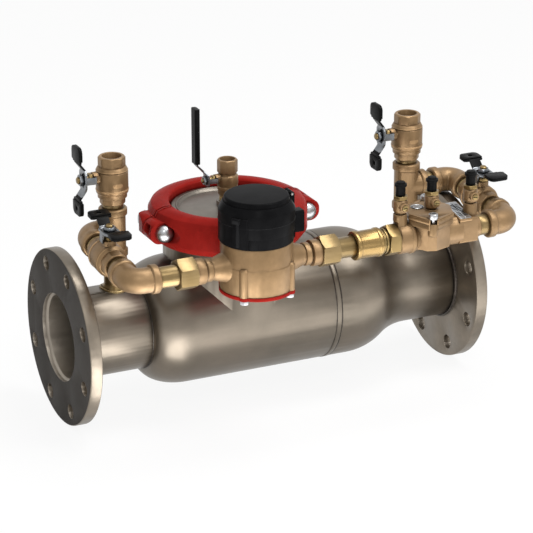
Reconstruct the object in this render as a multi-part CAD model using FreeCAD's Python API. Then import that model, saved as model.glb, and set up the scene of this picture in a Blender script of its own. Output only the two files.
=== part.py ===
# Backflow detector assembly: a flanged steel double check valve with a metered bypass line.
# Millimetres. X runs along the pipe from inlet to outlet, Y to the back, Z up.
# The origin is the centre of the inlet flange's face.
import FreeCAD, Part
import math
import os

V = FreeCAD.Vector
ORIGIN = V(0, 0, 0)
EAST, NORTH, UP = V(1, 0, 0), V(0, 1, 0), V(0, 0, 1)
WEST, SOUTH, DOWN = V(-1, 0, 0), V(0, -1, 0), V(0, 0, -1)

# fits
running = 0.06            # radial play of a shaft in its hole
free_gap = 0.3            # gap between pieces that move past each other
seat_gap = 0.1            # gap between a resting disc or cap and its seat
ball_gap = 0.3            # gap between a valve's ball and its body
nudge = 1.0               # how far a cut runs past a face

# main pipe line
face_to_face = 558.8
flange_outer = 228.6
flange_thick = 15.875
bolt_circle = 190.5
bolt_count = 8
bolt_hole = 19.05
edge_break = 1.0
pipe_outer = 114.3
pipe_wall = 3.05
pipe_setback = 7.0        # the pipe ends this far inside the flange's face
weld_leg = 3.0
shell_outer = 168.3
shell_wall = 3.4
shoulder_start = 107.0
shoulder_length = 53.0
band_start = 353.0
band_width = 8.0
band_proud = 0.6
band_bevel = 1.4
reducer_straight = 30.0
reducer_length = 90.0
neck_x = 236.0
neck_end = 126.0

# neck cap and its grooved clamp
groove_depth = 2.2
groove_width = 8.0
groove_to_end = 11.0
cap_gap = 2.5
cap_rim = 8.0
cap_rim_width = 18.0
cap_dome = 73.8
cap_rise = 7.0
cap_ring = 67.0           # the raised ring on the cap, and the dished middle inside it
cap_ring_width = 2.4
cap_ring_proud = 1.2
cap_dish = 2.6
cap_crown = 3.0
cap_boss = 14.5
cap_boss_top = 150.0
clamp_top = 152.5
clamp_crown = 13.0           # how far in from the belt the ring's top is level
clamp_brow = 4.0
clamp_shoulder = 11.0
clamp_brow_drop = 3.5
clamp_skirt = 11.0
clamp_bottom = 104.5
clamp_belt = 102.5
clamp_lip = 75.0
clamp_split = 3.0
gasket_outer = 91.0
gasket_low = 117.0
gasket_high = 134.0
gasket_recess = 88.0
bolt_offset = 100.0
bolt_height = 128.0
clamp_bolt = 12.7
pad_depth = 25.0
pad_reach = 118.0
pad_taper = 5.5           # the pads get narrower towards the nut
pad_half = 14.0
pad_round = 12.5
window_length = 19.0
window_height = 12.0
window_depth = 8.5
window_rise = 4.0
window_edge = 1.2
spot_face = 11.4
head_width = 20.5
head_edge = 3.0
head_height = 10.5
split_ridge = 0.9
ridge_width = 3.0
clamp_nut = 19.0
clamp_nut_length = 11.0
bolt_past_nut = 4.0

# main check discs
check_bore = 50.0
check_seats = (145.0, 318.0)
seat_thick = 10.0
seat_lip = 2.0
lip_width = 4.0
disc_radius = 58.0
disc_thick = 6.0
seal_thick = 3.0
seal_inner = 48.0
spring_room = 28.0
spring_radius = 17.0
spring_wire = 3.4
spring_turns = 4
spring_post = 4.0
disc_stem = 7.0
hub_radius = 24.0
hub_thick = 6.0
leg_count = 4
leg_inner = 66.0
leg_depth = 6.0
leg_width = 12.0
stem_past_hub = 4.0

# 3/4 inch pipe and fittings
tube_outer = 26.7
tube_bore = 20.8
thread_radius = 12.55
thread_depth = 12.0
fitting_radius = 16.0
collar_radius = 18.2
collar_length = 10.5
collar_round = 1.6
bend_radius = 16.6
elbow_leg = 34.0
street_leg = 17.0
street_engage = 8.0
tee_leg = 32.5
inlet_branch = 19.0
outlet_branch = 28.0
weld_reach = 17.5
weld_top = 62.0

# where the risers and the bypass line stand
inlet_riser_x = 78.0
outlet_riser_x = 494.7
branch_clear = 1.2        # between the rear elbows and the flange's rim
bypass_y = -148.7
bypass_z = 120.0
outlet_elbow_x = 565.5
valve_gap = 7.0           # bare nipple between a rear elbow and its valve
riser_gap = 5.0

# water meter
meter_x = 208.5
meter_laying = 190.5
case_radius = 45.2
skirt_radius = 46.2
case_bottom = 89.5
skirt_top = 124.5
case_top = 151.5
case_wall = 6.2
case_lid = 4.5
cone_start = 38.0
cone_end = 62.6
cone_wide = 21.0
cone_neck = 12.8
bead_radius = 14.6
bead_length = 8.0
spud_radius = 16.5
union_thread = 15.4
port_bore = 9.5
boss_circle = 43.5
boss_radius = 6.2
plate_radius = 47.0
plate_thick = 4.5
plate_bolt = 6.0
plate_bolt_depth = 14.0
plate_head = 10.0
plate_head_height = 5.0
chamber_radius = 36.5
chamber_height = 56.0
chamber_wall = 3.5
washer_thick = 2.0
union_flats = 36.0
union_inner = 84.2        # from the meter's middle to a union nut's inner end
union_outer = 108.4
tail_flange = 3.0
tail_end = 132.5

# register on the meter
register_radius = 47.5
register_side = 41.0
register_height = 51.0
register_shoulder = 42.0
band_height = 14.0        # the set-back band low on the register's front
band_inset = 1.6
band_from = 233.0
band_to = 334.0
latch_from = 215.0
latch_to = 232.0
latch_proud = 1.2
latch_height = 40.0
dial_radius = 33.0
dial_thick = 1.2
dial_depth = 10.0
glass_radius = 36.5
glass_thick = 2.2
glass_depth = 4.0
pointer_length = 27.0
pointer_hub = 2.4
pointer_pin = 1.2
pin_depth = 4.0
pointer_tail = 8.0
pointer_rest = 200.0
lug_reach = 61.0
lug_half = 8.5
lug_low = 1.5
lug_high = 29.5
lug_round = 3.0
lid_radius = 41.0
lid_top = 40.0
lid_height = 6.0
lid_wall = 2.4
hinge_offset = 44.5
hinge_rise = 2.2
hinge_radius = 3.0
hinge_pin = 1.5
knuckle_half = 4.0
ear_width = 4.0

# bypass check valve
sleeve_radius = 17.8
sleeve_length = 36.5
sleeve_bead = 1.0
groove_radius = 15.2
hex_flats = 36.4
hex_length = 15.6
check_start = 401.6
check_inlet = 20.0
check_inlet_end = 424.0
check_core = 19.0
check_core_end = 490.0
check_outlet_end = 519.0
outlet_block = (486.0, 512.0)
block_half = 15.5
block_rise = 2.5
outlet_round = 14.8
body_low = 107.5
check_ring = 1.4
check_ring_length = 7.0
cover_x = 449.0
cover_top = 152.5
cover_thick = 6.5
cover_turn = 20.0
cover_half = 41.0
cover_tip = 6.0
cover_shoulder = 16.0
cover_side = 29.0
cover_edge = 1.4
cover_slot = 4.4
lip_inset = 1.0           # the body's flange under the cover
lip_depth = 8.0
lobe_radius = 6.5
lobe_depth = 17.0
body_inset = 10.0
body_side_inset = 4.5
cover_bolt = 6.0
cover_bolt_at = 35.5
cover_bolt_depth = 14.0
cover_head = 12.0
cover_head_height = 7.0
small_bore = 9.5
small_room = 15.5
small_seats = (428.0, 462.0)
small_room_end = 488.0
small_wall = 4.0
small_disc = 14.2
small_disc_thick = 3.5
wing_length = 10.0
small_wing_thick = 2.0
small_spring = 12.6
small_wire = 1.6
small_turns = 3
small_post = 4.0
post_length = 8.0
duct_x = 418.5
duct_z = 136.0

# test cocks
cock_places = (407.5, 452.0, 508.0)
cock_rise = 1.0           # the cocks' feet above the cover
cock_foot = 9.0
cock_thread = 4.8
cock_thread_depth = 8.0
cock_depth = 7.0
cock_waist = 7.4
cock_barrel = 9.2
cock_ball_height = 10.5
cock_ball = 5.2
cock_bore = 2.2
cock_hex_flats = 17.0
cock_hex = (19.0, 24.0)
cock_nozzle = 4.4
cock_nozzle_top = 36.0
cock_boss = 5.8
cock_boss_reach = 13.0
cock_stem_radius = 3.6
cock_stem_reach = 14.2
cock_slot = 1.3
cock_cap = 6.2
cock_cap_top = 42.0
cock_cap_flange = 7.8
cock_cap_flange_thick = 3.0

# ball valves, measured from the ball's centre: up is the short end, down is the long end
service = dict(up=26.4, down=36.0, end=16.8, belly=20.5, belly_up=8.5, belly_down=21.5, foot=15.8,
               ball=13.0, port=9.5, thread=thread_radius, depth=thread_depth, boss=8.2, boss_end=27.0,
               gland=14.0, gland_length=5.0, stem=4.4, plate=37.0, plate_thick=2.4, nut=13.0,
               nut_length=5.0, tip=47.0, lug=10.2)
vent = dict(up=25.0, down=23.0, end=12.75, belly=13.8, belly_up=3.5, belly_down=10.0, foot=11.8,
            ball=9.0, port=6.2, thread=9.88, depth=9.0, boss=6.2, boss_end=18.0,
            gland=10.0, gland_length=4.0, stem=3.2, plate=28.0, plate_thick=2.0, nut=10.0,
            nut_length=4.0, tip=36.0, lug=7.6)
vent_tube = 10.65
vent_bore = 7.9
vent_height = 180.0
lug_before = 44.0
lug_length = 6.0
lug_half_width = 1.8

# tee handles of the service valves
handle_half = 45.0
wing_half = 13.5
wing_start = 27.0
wing_offset = 7.5
wing_thick = 4.4
wing_round = 7.0
hub_half = 11.0
hub_length = 9.0
waist_half = 7.5
flat_half = 14.0
ramp_end = 24.0
hang_hole = 3.0
hang_place = -36.0
grip_from = 27.0
tab_length = 12.5
tab_thick = 2.2
tab_half = 4.5

# lever of the vent valve
lever_offset = 14.5
lever_rise = 23.0
lever_foot = 8.0
lever_half = 5.0
lever_hub = 8.5
lever_end = 95.0
lever_tab = 11.5
grip_half = 7.25
grip_thick = 6.0
grip_start = 25.5
grip_end = 97.0
grip_round = 2.4

# places that follow from the sizes above
branch_height = flange_outer / 2 + fitting_radius + branch_clear
cock_base = cover_top + cock_rise
shell_radius = shell_outer / 2
shell_inner = shell_radius - shell_wall
pipe_radius = pipe_outer / 2
pipe_inner = pipe_radius - pipe_wall
tube_radius = tube_outer / 2
bore_radius = tube_bore / 2
engage = thread_depth - 1.0
shoulder_end = shoulder_start + shoulder_length
band_end = band_start + band_width
reducer_bend = band_end + reducer_straight
reducer_end = reducer_bend + reducer_length
outlet_pipe_end = face_to_face - pipe_setback
inlet_elbow_x = inlet_riser_x - inlet_branch - street_leg
swing_drop = branch_height - bypass_z
swing_span = math.hypot(bypass_y, swing_drop)
swing_angle = math.degrees(math.asin(swing_drop / swing_span))
valve_ball = elbow_leg + valve_gap + service["down"]
front_gap = swing_span - elbow_leg - valve_ball - service["up"]
test_valve_height = branch_height + tee_leg + riser_gap + service["down"]
cap_low = neck_end + cap_gap
cap_shoulder = cap_low + cap_rim
cap_top = cap_shoulder + cap_rise
register_low = case_top
lid_low = register_low + register_height + free_gap
spud_end = meter_laying / 2
sleeve_start = meter_x + tail_end
groove_start = sleeve_start + sleeve_length
hex_start = check_start - hex_length
bypass_line = V(0, bypass_y, bypass_z)


# Moves a shape drawn along local Z to its place; side is where its local X points.
def put(shape, at=ORIGIN, along=UP, side=None):
    if side is None:
        side = NORTH if abs(along.x) > 0.9 else EAST
    turn = FreeCAD.Rotation(side, along.cross(side), along, "ZXY")
    moved = shape.copy()
    moved.Placement = FreeCAD.Placement(at, turn).multiply(moved.Placement)
    return moved


# A closed outline; a pair of points is an arc through the first point to the second.
def outline(points, upright):
    def at(pair):
        return V(pair[0], 0, pair[1]) if upright else V(pair[0], pair[1], 0)
    here = at(points[0])
    edges = []
    for point in list(points[1:]) + [points[0]]:
        if isinstance(point[0], tuple):
            end = at(point[1])
            edges.append(Part.Arc(here, at(point[0]), end).toShape())
        else:
            end = at(point)
            if end.distanceToPoint(here) > 1e-6:
                edges.append(Part.LineSegment(here, end).toShape())
        here = end
    return Part.Face(Part.Wire(edges))


# A turned solid from (radius, height) points.
def turned(points, at=ORIGIN, along=UP):
    return put(outline(points, True).revolve(ORIGIN, UP, 360), at, along)


def prism(points, length, at=ORIGIN, along=UP, side=None):
    return put(outline(points, False).extrude(V(0, 0, length)), at, along, side)


def rod(radius, length, at=ORIGIN, along=UP):
    return Part.makeCylinder(radius, length, at, along)


def tube(outer, inner, length, at=ORIGIN, along=UP):
    return rod(outer, length, at, along).cut(rod(inner, length, at, along))


def block(low, high):
    return Part.makeBox(high[0] - low[0], high[1] - low[1], high[2] - low[2], V(*low))


def corners(sides, flats, turn=0.0):
    reach = flats / 2 / math.cos(math.pi / sides)
    angles = [math.radians(turn) + 2 * math.pi * number / sides for number in range(sides)]
    return [(reach * math.cos(angle), reach * math.sin(angle)) for angle in angles]


# A hexagon bar whose corners are turned off at both ends, with a hole along it.
def hex_bar(flats, length, hole, at=ORIGIN, along=UP, side=None):
    reach = flats / 2 / math.cos(math.pi / 6)
    flat = flats / 2 - 0.2
    rise = (reach - flat) * 0.6
    crown = turned([(hole, 0), (flat, 0), (reach, rise), (reach, length - rise), (flat, length), (hole, length)])
    return put(prism(corners(6, flats), length).common(crown), at, along, side)


def fuse(first, *others):
    return first.multiFuse(list(others)).removeSplitter()


def cut(first, *others):
    return first.cut(list(others))


def group(solids):
    return Part.makeCompound(solids)


def turn_z(shape, degrees):
    turned_shape = shape.copy()
    turned_shape.rotate(ORIGIN, UP, degrees)
    return turned_shape


# The rear elbows turn on the tees, so that the bypass hangs a little and its ends are level.
def swing(shape):
    swung = shape.copy()
    swung.rotate(V(0, 0, branch_height), EAST, swing_angle)
    return swung


# Two arcs that join two radii smoothly along an axis.
def s_curve(start, start_radius, end, end_radius):
    run, rise = (end - start) / 2, (end_radius - start_radius) / 2
    half = math.atan2(abs(rise), run)
    radius = run / math.sin(2 * half)
    reach = radius * math.sin(half)
    lift = math.copysign(radius * (1 - math.cos(half)), rise)
    return [((start_radius + lift, start + reach), (start_radius + rise, start + run)),
            ((end_radius - lift, end - reach), (end_radius, end))]


# A quarter ellipse from a steep start to a level end, as arcs.
def shoulder_curve(start, start_radius, end, end_radius, steps=4):
    run, rise = end - start, end_radius - start_radius
    angles = [math.pi / 2 * number / steps for number in range(steps + 1)]

    def at(angle):
        return (start_radius + rise * math.sin(angle), end - run * math.cos(angle))
    return [(at((low + high) / 2), at(high)) for low, high in zip(angles, angles[1:])]


# A coil spring of square wire.
def coil(mean, wire, length, turns, at, along):
    height = length - wire
    path = Part.makeHelix(height / turns, height, mean)
    half = wire / 2
    ring = [V(mean - half, 0, -half), V(mean + half, 0, -half), V(mean + half, 0, half), V(mean - half, 0, half)]
    section = Part.makePolygon(ring + ring[:1])
    spring = Part.Wire(path).makePipeShell([section], True, True)
    spring.translate(V(0, 0, half))
    return put(spring, at, along)


# Steel flanges, pipe, shell and reducer
def flange(face_x, inward):
    rim = flange_outer / 2
    body = turned([(pipe_radius, 0), (rim - edge_break, 0), (rim, edge_break), (rim, flange_thick - edge_break),
                   (rim - edge_break, flange_thick), (pipe_radius + weld_leg, flange_thick),
                   (pipe_radius, flange_thick + weld_leg)], V(face_x, 0, 0), inward)
    holes = []
    for number in range(bolt_count):
        angle = 2 * math.pi * (number + 0.5) / bolt_count
        centre = V(face_x, bolt_circle / 2 * math.cos(angle), bolt_circle / 2 * math.sin(angle))
        holes.append(rod(bolt_hole / 2, flange_thick, centre, inward))
    return cut(body, *holes)


# The pipe's end with the inner weld that seals it to its flange.
def weld_lip(at_x, inward):
    return turned([(pipe_inner, 0), (pipe_inner + edge_break, -edge_break), (pipe_radius, -weld_leg),
                   (pipe_radius, 0)], V(at_x, 0, 0), inward)


def riser_hole(x):
    return rod(thread_radius, shell_radius, V(x, 0, 0))


def inlet_pipe():
    length = shoulder_start + shell_wall - pipe_setback
    pipe = tube(pipe_radius, pipe_inner, length, V(pipe_setback, 0, 0), EAST)
    return fuse(pipe, weld_lip(pipe_setback, EAST)).cut(riser_hole(inlet_riser_x))


def valve_shell():
    outside = shoulder_curve(shoulder_start, pipe_radius, shoulder_end, shell_radius)
    inside = shoulder_curve(shoulder_start + shell_wall, pipe_radius, shoulder_end, shell_inner)
    solid = turned([(0, shoulder_start), (pipe_radius, shoulder_start)] + outside
                   + [(shell_radius, band_start), (0, band_start)], ORIGIN, EAST)
    hollow = turned([(0, shoulder_start), (pipe_radius, shoulder_start), (pipe_radius, shoulder_start + shell_wall)]
                    + inside + [(shell_inner, band_start), (0, band_start)], ORIGIN, EAST)
    neck = rod(shell_radius, neck_end, V(neck_x, 0, 0))
    neck_hollow = rod(shell_inner, neck_end, V(neck_x, 0, 0))
    groove = tube(shell_radius + nudge, shell_radius - groove_depth, groove_width,
                  V(neck_x, 0, neck_end - groove_to_end - groove_width))
    return solid.fuse(neck).cut(hollow).cut(neck_hollow).cut(groove)


def weld_band():
    proud = shell_radius + band_proud
    low = shell_radius - band_bevel
    return turned([(shell_inner, 0), (low, 0), (proud, band_bevel), (proud, band_width - band_bevel),
                   (low, band_width), (shell_inner, band_width)], V(band_start, 0, 0), EAST)


def outlet_reducer():
    outside = s_curve(reducer_bend, shell_radius, reducer_end, pipe_radius)
    inside = s_curve(reducer_bend, shell_inner, reducer_end, pipe_inner)
    solid = turned([(0, band_end), (shell_radius, band_end), (shell_radius, reducer_bend)] + outside
                   + [(pipe_radius, outlet_pipe_end), (0, outlet_pipe_end)], ORIGIN, EAST)
    hollow = turned([(0, band_end), (shell_inner, band_end), (shell_inner, reducer_bend)] + inside
                    + [(pipe_inner, outlet_pipe_end), (0, outlet_pipe_end)], ORIGIN, EAST)
    return fuse(solid.cut(hollow), weld_lip(outlet_pipe_end, WEST)).cut(riser_hole(outlet_riser_x))


# Neck cap with its clamp
def neck_cap():
    under = cap_low + cap_rim
    top_round = edge_break * 2.5
    inside, dish_low = cap_ring - cap_ring_width, cap_top - cap_dish
    half_way = (inside + cap_boss) / 2
    points = [(vent["thread"], under), (shell_radius - cap_rim_width - cap_rim / 2, under),
              (shell_radius - cap_rim_width, under - cap_rim / 2), (shell_radius - cap_rim_width, cap_low),
              (shell_radius, cap_low), (shell_radius, cap_shoulder), (cap_dome, cap_shoulder),
              (cap_dome, cap_top - top_round),
              ((cap_dome - top_round * 0.29, cap_top - top_round * 0.29), (cap_dome - top_round, cap_top)),
              (cap_ring, cap_top), ((cap_ring - cap_ring_width / 2, cap_top + cap_ring_proud), (inside, cap_top)),
              (inside - cap_dish, dish_low),
              ((half_way, dish_low + cap_crown * 0.75), (cap_boss, dish_low + cap_crown)),
              (cap_boss, cap_boss_top), (vent["thread"], cap_boss_top)]
    return turned(points, V(neck_x, 0, 0))


def clamp_ring():
    key = shell_radius - groove_depth + free_gap
    land = shell_radius + free_gap
    key_top = neck_end - groove_to_end - free_gap
    key_low = key_top - groove_width + 2 * free_gap
    cavity = gasket_outer
    points = [(key, key_low), (key, key_top), (land, key_top), (land, gasket_low), (cavity, gasket_low),
              (cavity, gasket_high), (land, gasket_high), (land, cap_shoulder + free_gap),
              (clamp_lip, cap_shoulder + free_gap), (clamp_lip, clamp_top - 3.0),
              ((clamp_lip + 1.2, clamp_top - 1.0), (clamp_lip + 4.0, clamp_top)),
              ((clamp_belt - clamp_crown, clamp_top - 0.3), (clamp_belt - clamp_brow, clamp_top - clamp_brow_drop)),
              (clamp_belt, clamp_top - clamp_shoulder), (clamp_belt, clamp_bottom + clamp_skirt),
              (clamp_belt - 6.5, clamp_bottom + 2.0), (land + 2.0, clamp_bottom), (land, key_low)]
    return turned(points, V(neck_x, 0, 0))


# A rectangle with round corners, or an oval where the round is half the width.
def rounded(length, width, r):
    a, b, k = length / 2, width / 2, r * (1 - math.sqrt(0.5))
    return [(r - a, -b), (a - r, -b), ((a - k, k - b), (a, r - b)), (a, b - r), ((a - k, b - k), (a - r, b)),
            (r - a, b), ((k - a, b - k), (-a, b - r)), (-a, r - b), ((k - a, k - b), (r - a, -b))]


# A low dome of revolution on a short cylinder, as bolt heads have.
def domed_head(radius, edge, height):
    centre = (height ** 2 - edge ** 2 - radius ** 2) / (2 * (height - edge))
    curve = height - centre
    middle = radius * 0.6
    return [(0, 0), (radius, 0), (radius, edge),
            ((middle, centre + math.sqrt(curve ** 2 - middle ** 2)), (0, height))]


def clamp_pads():
    reach = clamp_split / 2 + pad_depth
    low, high, inner = bolt_height - pad_half, bolt_height + pad_half, clamp_belt - 7.0
    bulge = pad_round * (1 - math.sqrt(0.5))
    pads = []
    for sign in (-1, 1):
        points = [(sign * x, z) for x, z in ((inner, high), (inner, low), (pad_reach - pad_round, low))]
        points += [((sign * (pad_reach - bulge), low + bulge), (sign * pad_reach, low + pad_round))]
        points += [(sign * pad_reach, high - pad_round)]
        points += [((sign * (pad_reach - bulge), high - bulge), (sign * (pad_reach - pad_round), high))]
        pad = outline(points, True).extrude(V(0, 2 * reach, 0))
        pad.translate(V(neck_x, -reach, 0))
        plan = [(inner, -reach), (pad_reach, -reach), (pad_reach, 0), (pad_reach - pad_taper, reach), (inner, reach)]
        pad = pad.common(prism([(sign * x, y) for x, y in plan], high - low, V(neck_x, 0, low)))
        corner = V(neck_x + sign * (pad_reach - window_depth),
                   -(clamp_split + window_length) / 2 - window_edge, bolt_height + window_rise)
        oval = rounded(window_length, window_height, window_height / 2)
        pads.append(pad.cut(prism(oval, window_depth + nudge, corner, V(sign, 0, 0), NORTH)))
    return pads


# Each bolt has a hole through both halves, and its head and nut sit in round pockets cut into the ring.
def bolt_rooms():
    seat = clamp_split / 2 + pad_depth
    rooms = []
    for sign in (-1, 1):
        for side in (-1, 1):
            at = V(neck_x + sign * bolt_offset, 0, bolt_height)
            out = V(0, side, 0)
            rooms += [rod(spot_face, pad_reach, at + out * seat, out), rod(clamp_bolt / 2 + free_gap, seat, at, out)]
    return rooms


# The raised line along each half's parting edge, over the ring and its pads.
def split_ridges():
    high, end = bolt_height + pad_half, pad_reach - pad_round
    points = [(clamp_lip + 6, clamp_top - 3), (clamp_lip + 6, clamp_top + split_ridge),
              (clamp_belt - clamp_crown, clamp_top + split_ridge - 0.3),
              (clamp_belt - clamp_brow, clamp_top - clamp_brow_drop + split_ridge),
              (clamp_belt + split_ridge, clamp_top - clamp_shoulder), (clamp_belt + split_ridge, high + split_ridge),
              (end, high + split_ridge), (end, high - 3), (clamp_belt - 6, high - 3)]
    reach = clamp_split / 2 + ridge_width
    ridges = []
    for sign in (-1, 1):
        ridge = outline([(sign * x, z) for x, z in points], True).extrude(V(0, 2 * reach, 0))
        ridge.translate(V(neck_x, -reach, 0))
        ridges.append(ridge)
    return ridges


def clamp_halves():
    whole = cut(fuse(clamp_ring(), *clamp_pads(), *split_ridges()), *bolt_rooms())
    reach = pad_reach + nudge
    halves = []
    for low, high in ((-reach, -clamp_split / 2), (clamp_split / 2, reach)):
        space = block((neck_x - reach, low, clamp_bottom - nudge), (neck_x + reach, high, clamp_top + nudge))
        halves.append(whole.common(space))
    return halves


def clamp_bolts():
    seat = clamp_split / 2 + pad_depth
    solids = []
    for sign in (-1, 1):
        at = V(neck_x + sign * bolt_offset, -seat, bolt_height)
        shank = rod(clamp_bolt / 2, 2 * seat + clamp_nut_length + bolt_past_nut, at, NORTH)
        solids.append(fuse(turned(domed_head(head_width / 2, head_edge, head_height), at, SOUTH), shank))
        at = V(neck_x + sign * bolt_offset, seat, bolt_height)
        solids.append(hex_bar(clamp_nut, clamp_nut_length, clamp_bolt / 2 + running, at, NORTH, UP))
    return group(solids)


def clamp_gasket():
    inner, outer = shell_radius + running, gasket_outer - free_gap
    low, high = gasket_low + free_gap, gasket_high - free_gap
    points = [(inner, low), (outer, low), (outer, high), (inner, high), (inner, cap_low + 1.0),
              (gasket_recess, cap_low + 2.5), (gasket_recess, neck_end - 2.5), (inner, neck_end - 1.0)]
    return turned(points, V(neck_x, 0, 0))


# Main checks: a seat ring with a cage of legs, and a sprung disc that slides in the cage's hub.
def seat_rim(x):
    if x >= shoulder_end:
        return shell_inner - running
    start = shoulder_start + shell_wall
    share = (shoulder_end - x) / (shoulder_end - start)
    return pipe_radius + (shell_inner - pipe_radius) * math.sqrt(1 - share ** 2) - free_gap


def closed_disc_start(seat):
    return seat + seat_thick + seat_lip + seat_gap


def check_cage(seat):
    face = seat + seat_thick
    hub = closed_disc_start(seat) + seal_thick + disc_thick + spring_room
    middle = seat + seat_thick / 2
    ring = turned([(check_bore, seat), (seat_rim(seat), seat), (seat_rim(middle), middle), (seat_rim(face), face),
                   (check_bore + lip_width, face), (check_bore + lip_width - 1, face + seat_lip),
                   (check_bore, face + seat_lip)], ORIGIN, EAST)
    bars = [rod(hub_radius, hub_thick, V(hub, 0, 0), EAST)]
    for number in range(leg_count):
        turn = 360.0 * (number + 0.5) / leg_count
        half, end = leg_width / 2, hub + hub_thick
        leg = block((face - nudge, -half, leg_inner), (end, half, leg_inner + leg_depth))
        spoke = block((hub, -half, 0), (end, half, leg_inner + nudge))
        for bar in (leg, spoke):
            bar.rotate(ORIGIN, EAST, turn)
            bars.append(bar)
    return fuse(ring, *bars).cut(rod(disc_stem + running, hub_thick, V(hub, 0, 0), EAST))


def check_disc(seat):
    start = closed_disc_start(seat)
    back = start + seal_thick + disc_thick
    stem_end = back + spring_room + hub_thick + stem_past_hub
    disc = turned([(0, start), (seal_inner - 1, start), (seal_inner, start + 1), (seal_inner, start + seal_thick),
                   (disc_radius, start + seal_thick), (disc_radius, back - 1), (disc_radius - 1, back),
                   (disc_stem + spring_post, back), (disc_stem + spring_post - 1, back + spring_post),
                   (disc_stem, back + spring_post), (disc_stem, stem_end - 1), (disc_stem - 1, stem_end),
                   (0, stem_end)], ORIGIN, EAST)
    seal = tube(disc_radius, seal_inner, seal_thick, V(start, 0, 0), EAST)
    return group([disc, seal])


def check_spring(seat):
    back = closed_disc_start(seat) + seal_thick + disc_thick
    return coil(spring_radius, spring_wire, spring_room - 2 * seat_gap, spring_turns, V(back + seat_gap, 0, 0), EAST)


# Threaded pipe and fittings
def nipple(start, length, along, radius=tube_radius, bore=bore_radius, plug=thread_radius - running,
           depth=engage, first_depth=None):
    first = depth if first_depth is None else first_depth
    return turned([(bore, -first), (plug, -first), (plug, 0), (radius, 0), (radius, length), (plug, length),
                   (plug, length + depth), (bore, length + depth)], start, along)


# The riser is welded into the pipe, so that its foot follows the pipe's round.
def riser(x):
    top = branch_height - tee_leg
    upper = turned([(bore_radius, 0), (weld_reach, 0), (weld_reach, pipe_radius - 1.5), (tube_radius, weld_top),
                    (tube_radius, top), (thread_radius - running, top), (thread_radius - running, top + engage),
                    (bore_radius, top + engage)], V(x, 0, 0))
    trunk = rod(pipe_radius + running, 4 * weld_reach, V(x - 2 * weld_reach, 0, 0), EAST)
    plug = tube(thread_radius - running, bore_radius, pipe_radius - pipe_inner + 3.0, V(x, 0, pipe_inner - 1.5))
    return upper.cut(trunk).fuse(plug)


# A fitting's end collar, from its face inward.
def collar(at, inward, length=collar_length):
    tip = collar_round
    return turned([(0, 0), (collar_radius - tip, 0), (collar_radius, tip), (collar_radius, length - tip),
                   (collar_radius - tip, length), (0, length)], at, inward)


def threads(at, inward, depth=thread_depth):
    return rod(thread_radius, depth, at, inward)


def tee(x, branch, branch_leg, branch_depth):
    middle = V(x, 0, branch_height)
    low, high, side = middle - UP * tee_leg, middle + UP * tee_leg, middle + branch * branch_leg
    body = fuse(rod(fitting_radius, 2 * tee_leg, low), rod(fitting_radius, branch_leg, middle, branch),
                collar(low, UP), collar(high, DOWN), collar(side, branch * -1, min(collar_length, branch_leg)))
    return cut(body, rod(bore_radius, 2 * tee_leg, low), rod(bore_radius, branch_leg, middle, branch),
               threads(low, UP), threads(high, DOWN), threads(side, branch * -1, branch_depth))


# A round bar swept along a straight leg, a quarter bend and another straight leg.
def bend(corner, first, first_leg, second, second_leg, radius):
    start, turn_in = corner + first * first_leg, corner + first * bend_radius
    turn_out, end = corner + second * bend_radius, corner + second * second_leg
    middle = corner + (first + second) * (bend_radius * (1 - math.sqrt(0.5)))
    path = Part.Wire([Part.LineSegment(start, turn_in).toShape(), Part.Arc(turn_in, middle, turn_out).toShape(),
                      Part.LineSegment(turn_out, end).toShape()])
    return path.makePipe(Part.Face(Part.Wire(Part.makeCircle(radius, start, first))))


def elbow(corner, first, second, male=False):
    first_leg = street_leg if male else elbow_leg
    body = bend(corner, first, first_leg, second, elbow_leg, fitting_radius)
    bore = bend(corner, first, first_leg + street_engage, second, elbow_leg, bore_radius)
    start, end = corner + first * first_leg, corner + second * elbow_leg
    if male:
        return cut(fuse(body, rod(thread_radius - running, street_engage, start, first), collar(end, second * -1)),
                   bore, threads(end, second * -1))
    return cut(fuse(body, collar(start, first * -1), collar(end, second * -1)), bore, threads(start, first * -1),
               threads(end, second * -1))


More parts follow.
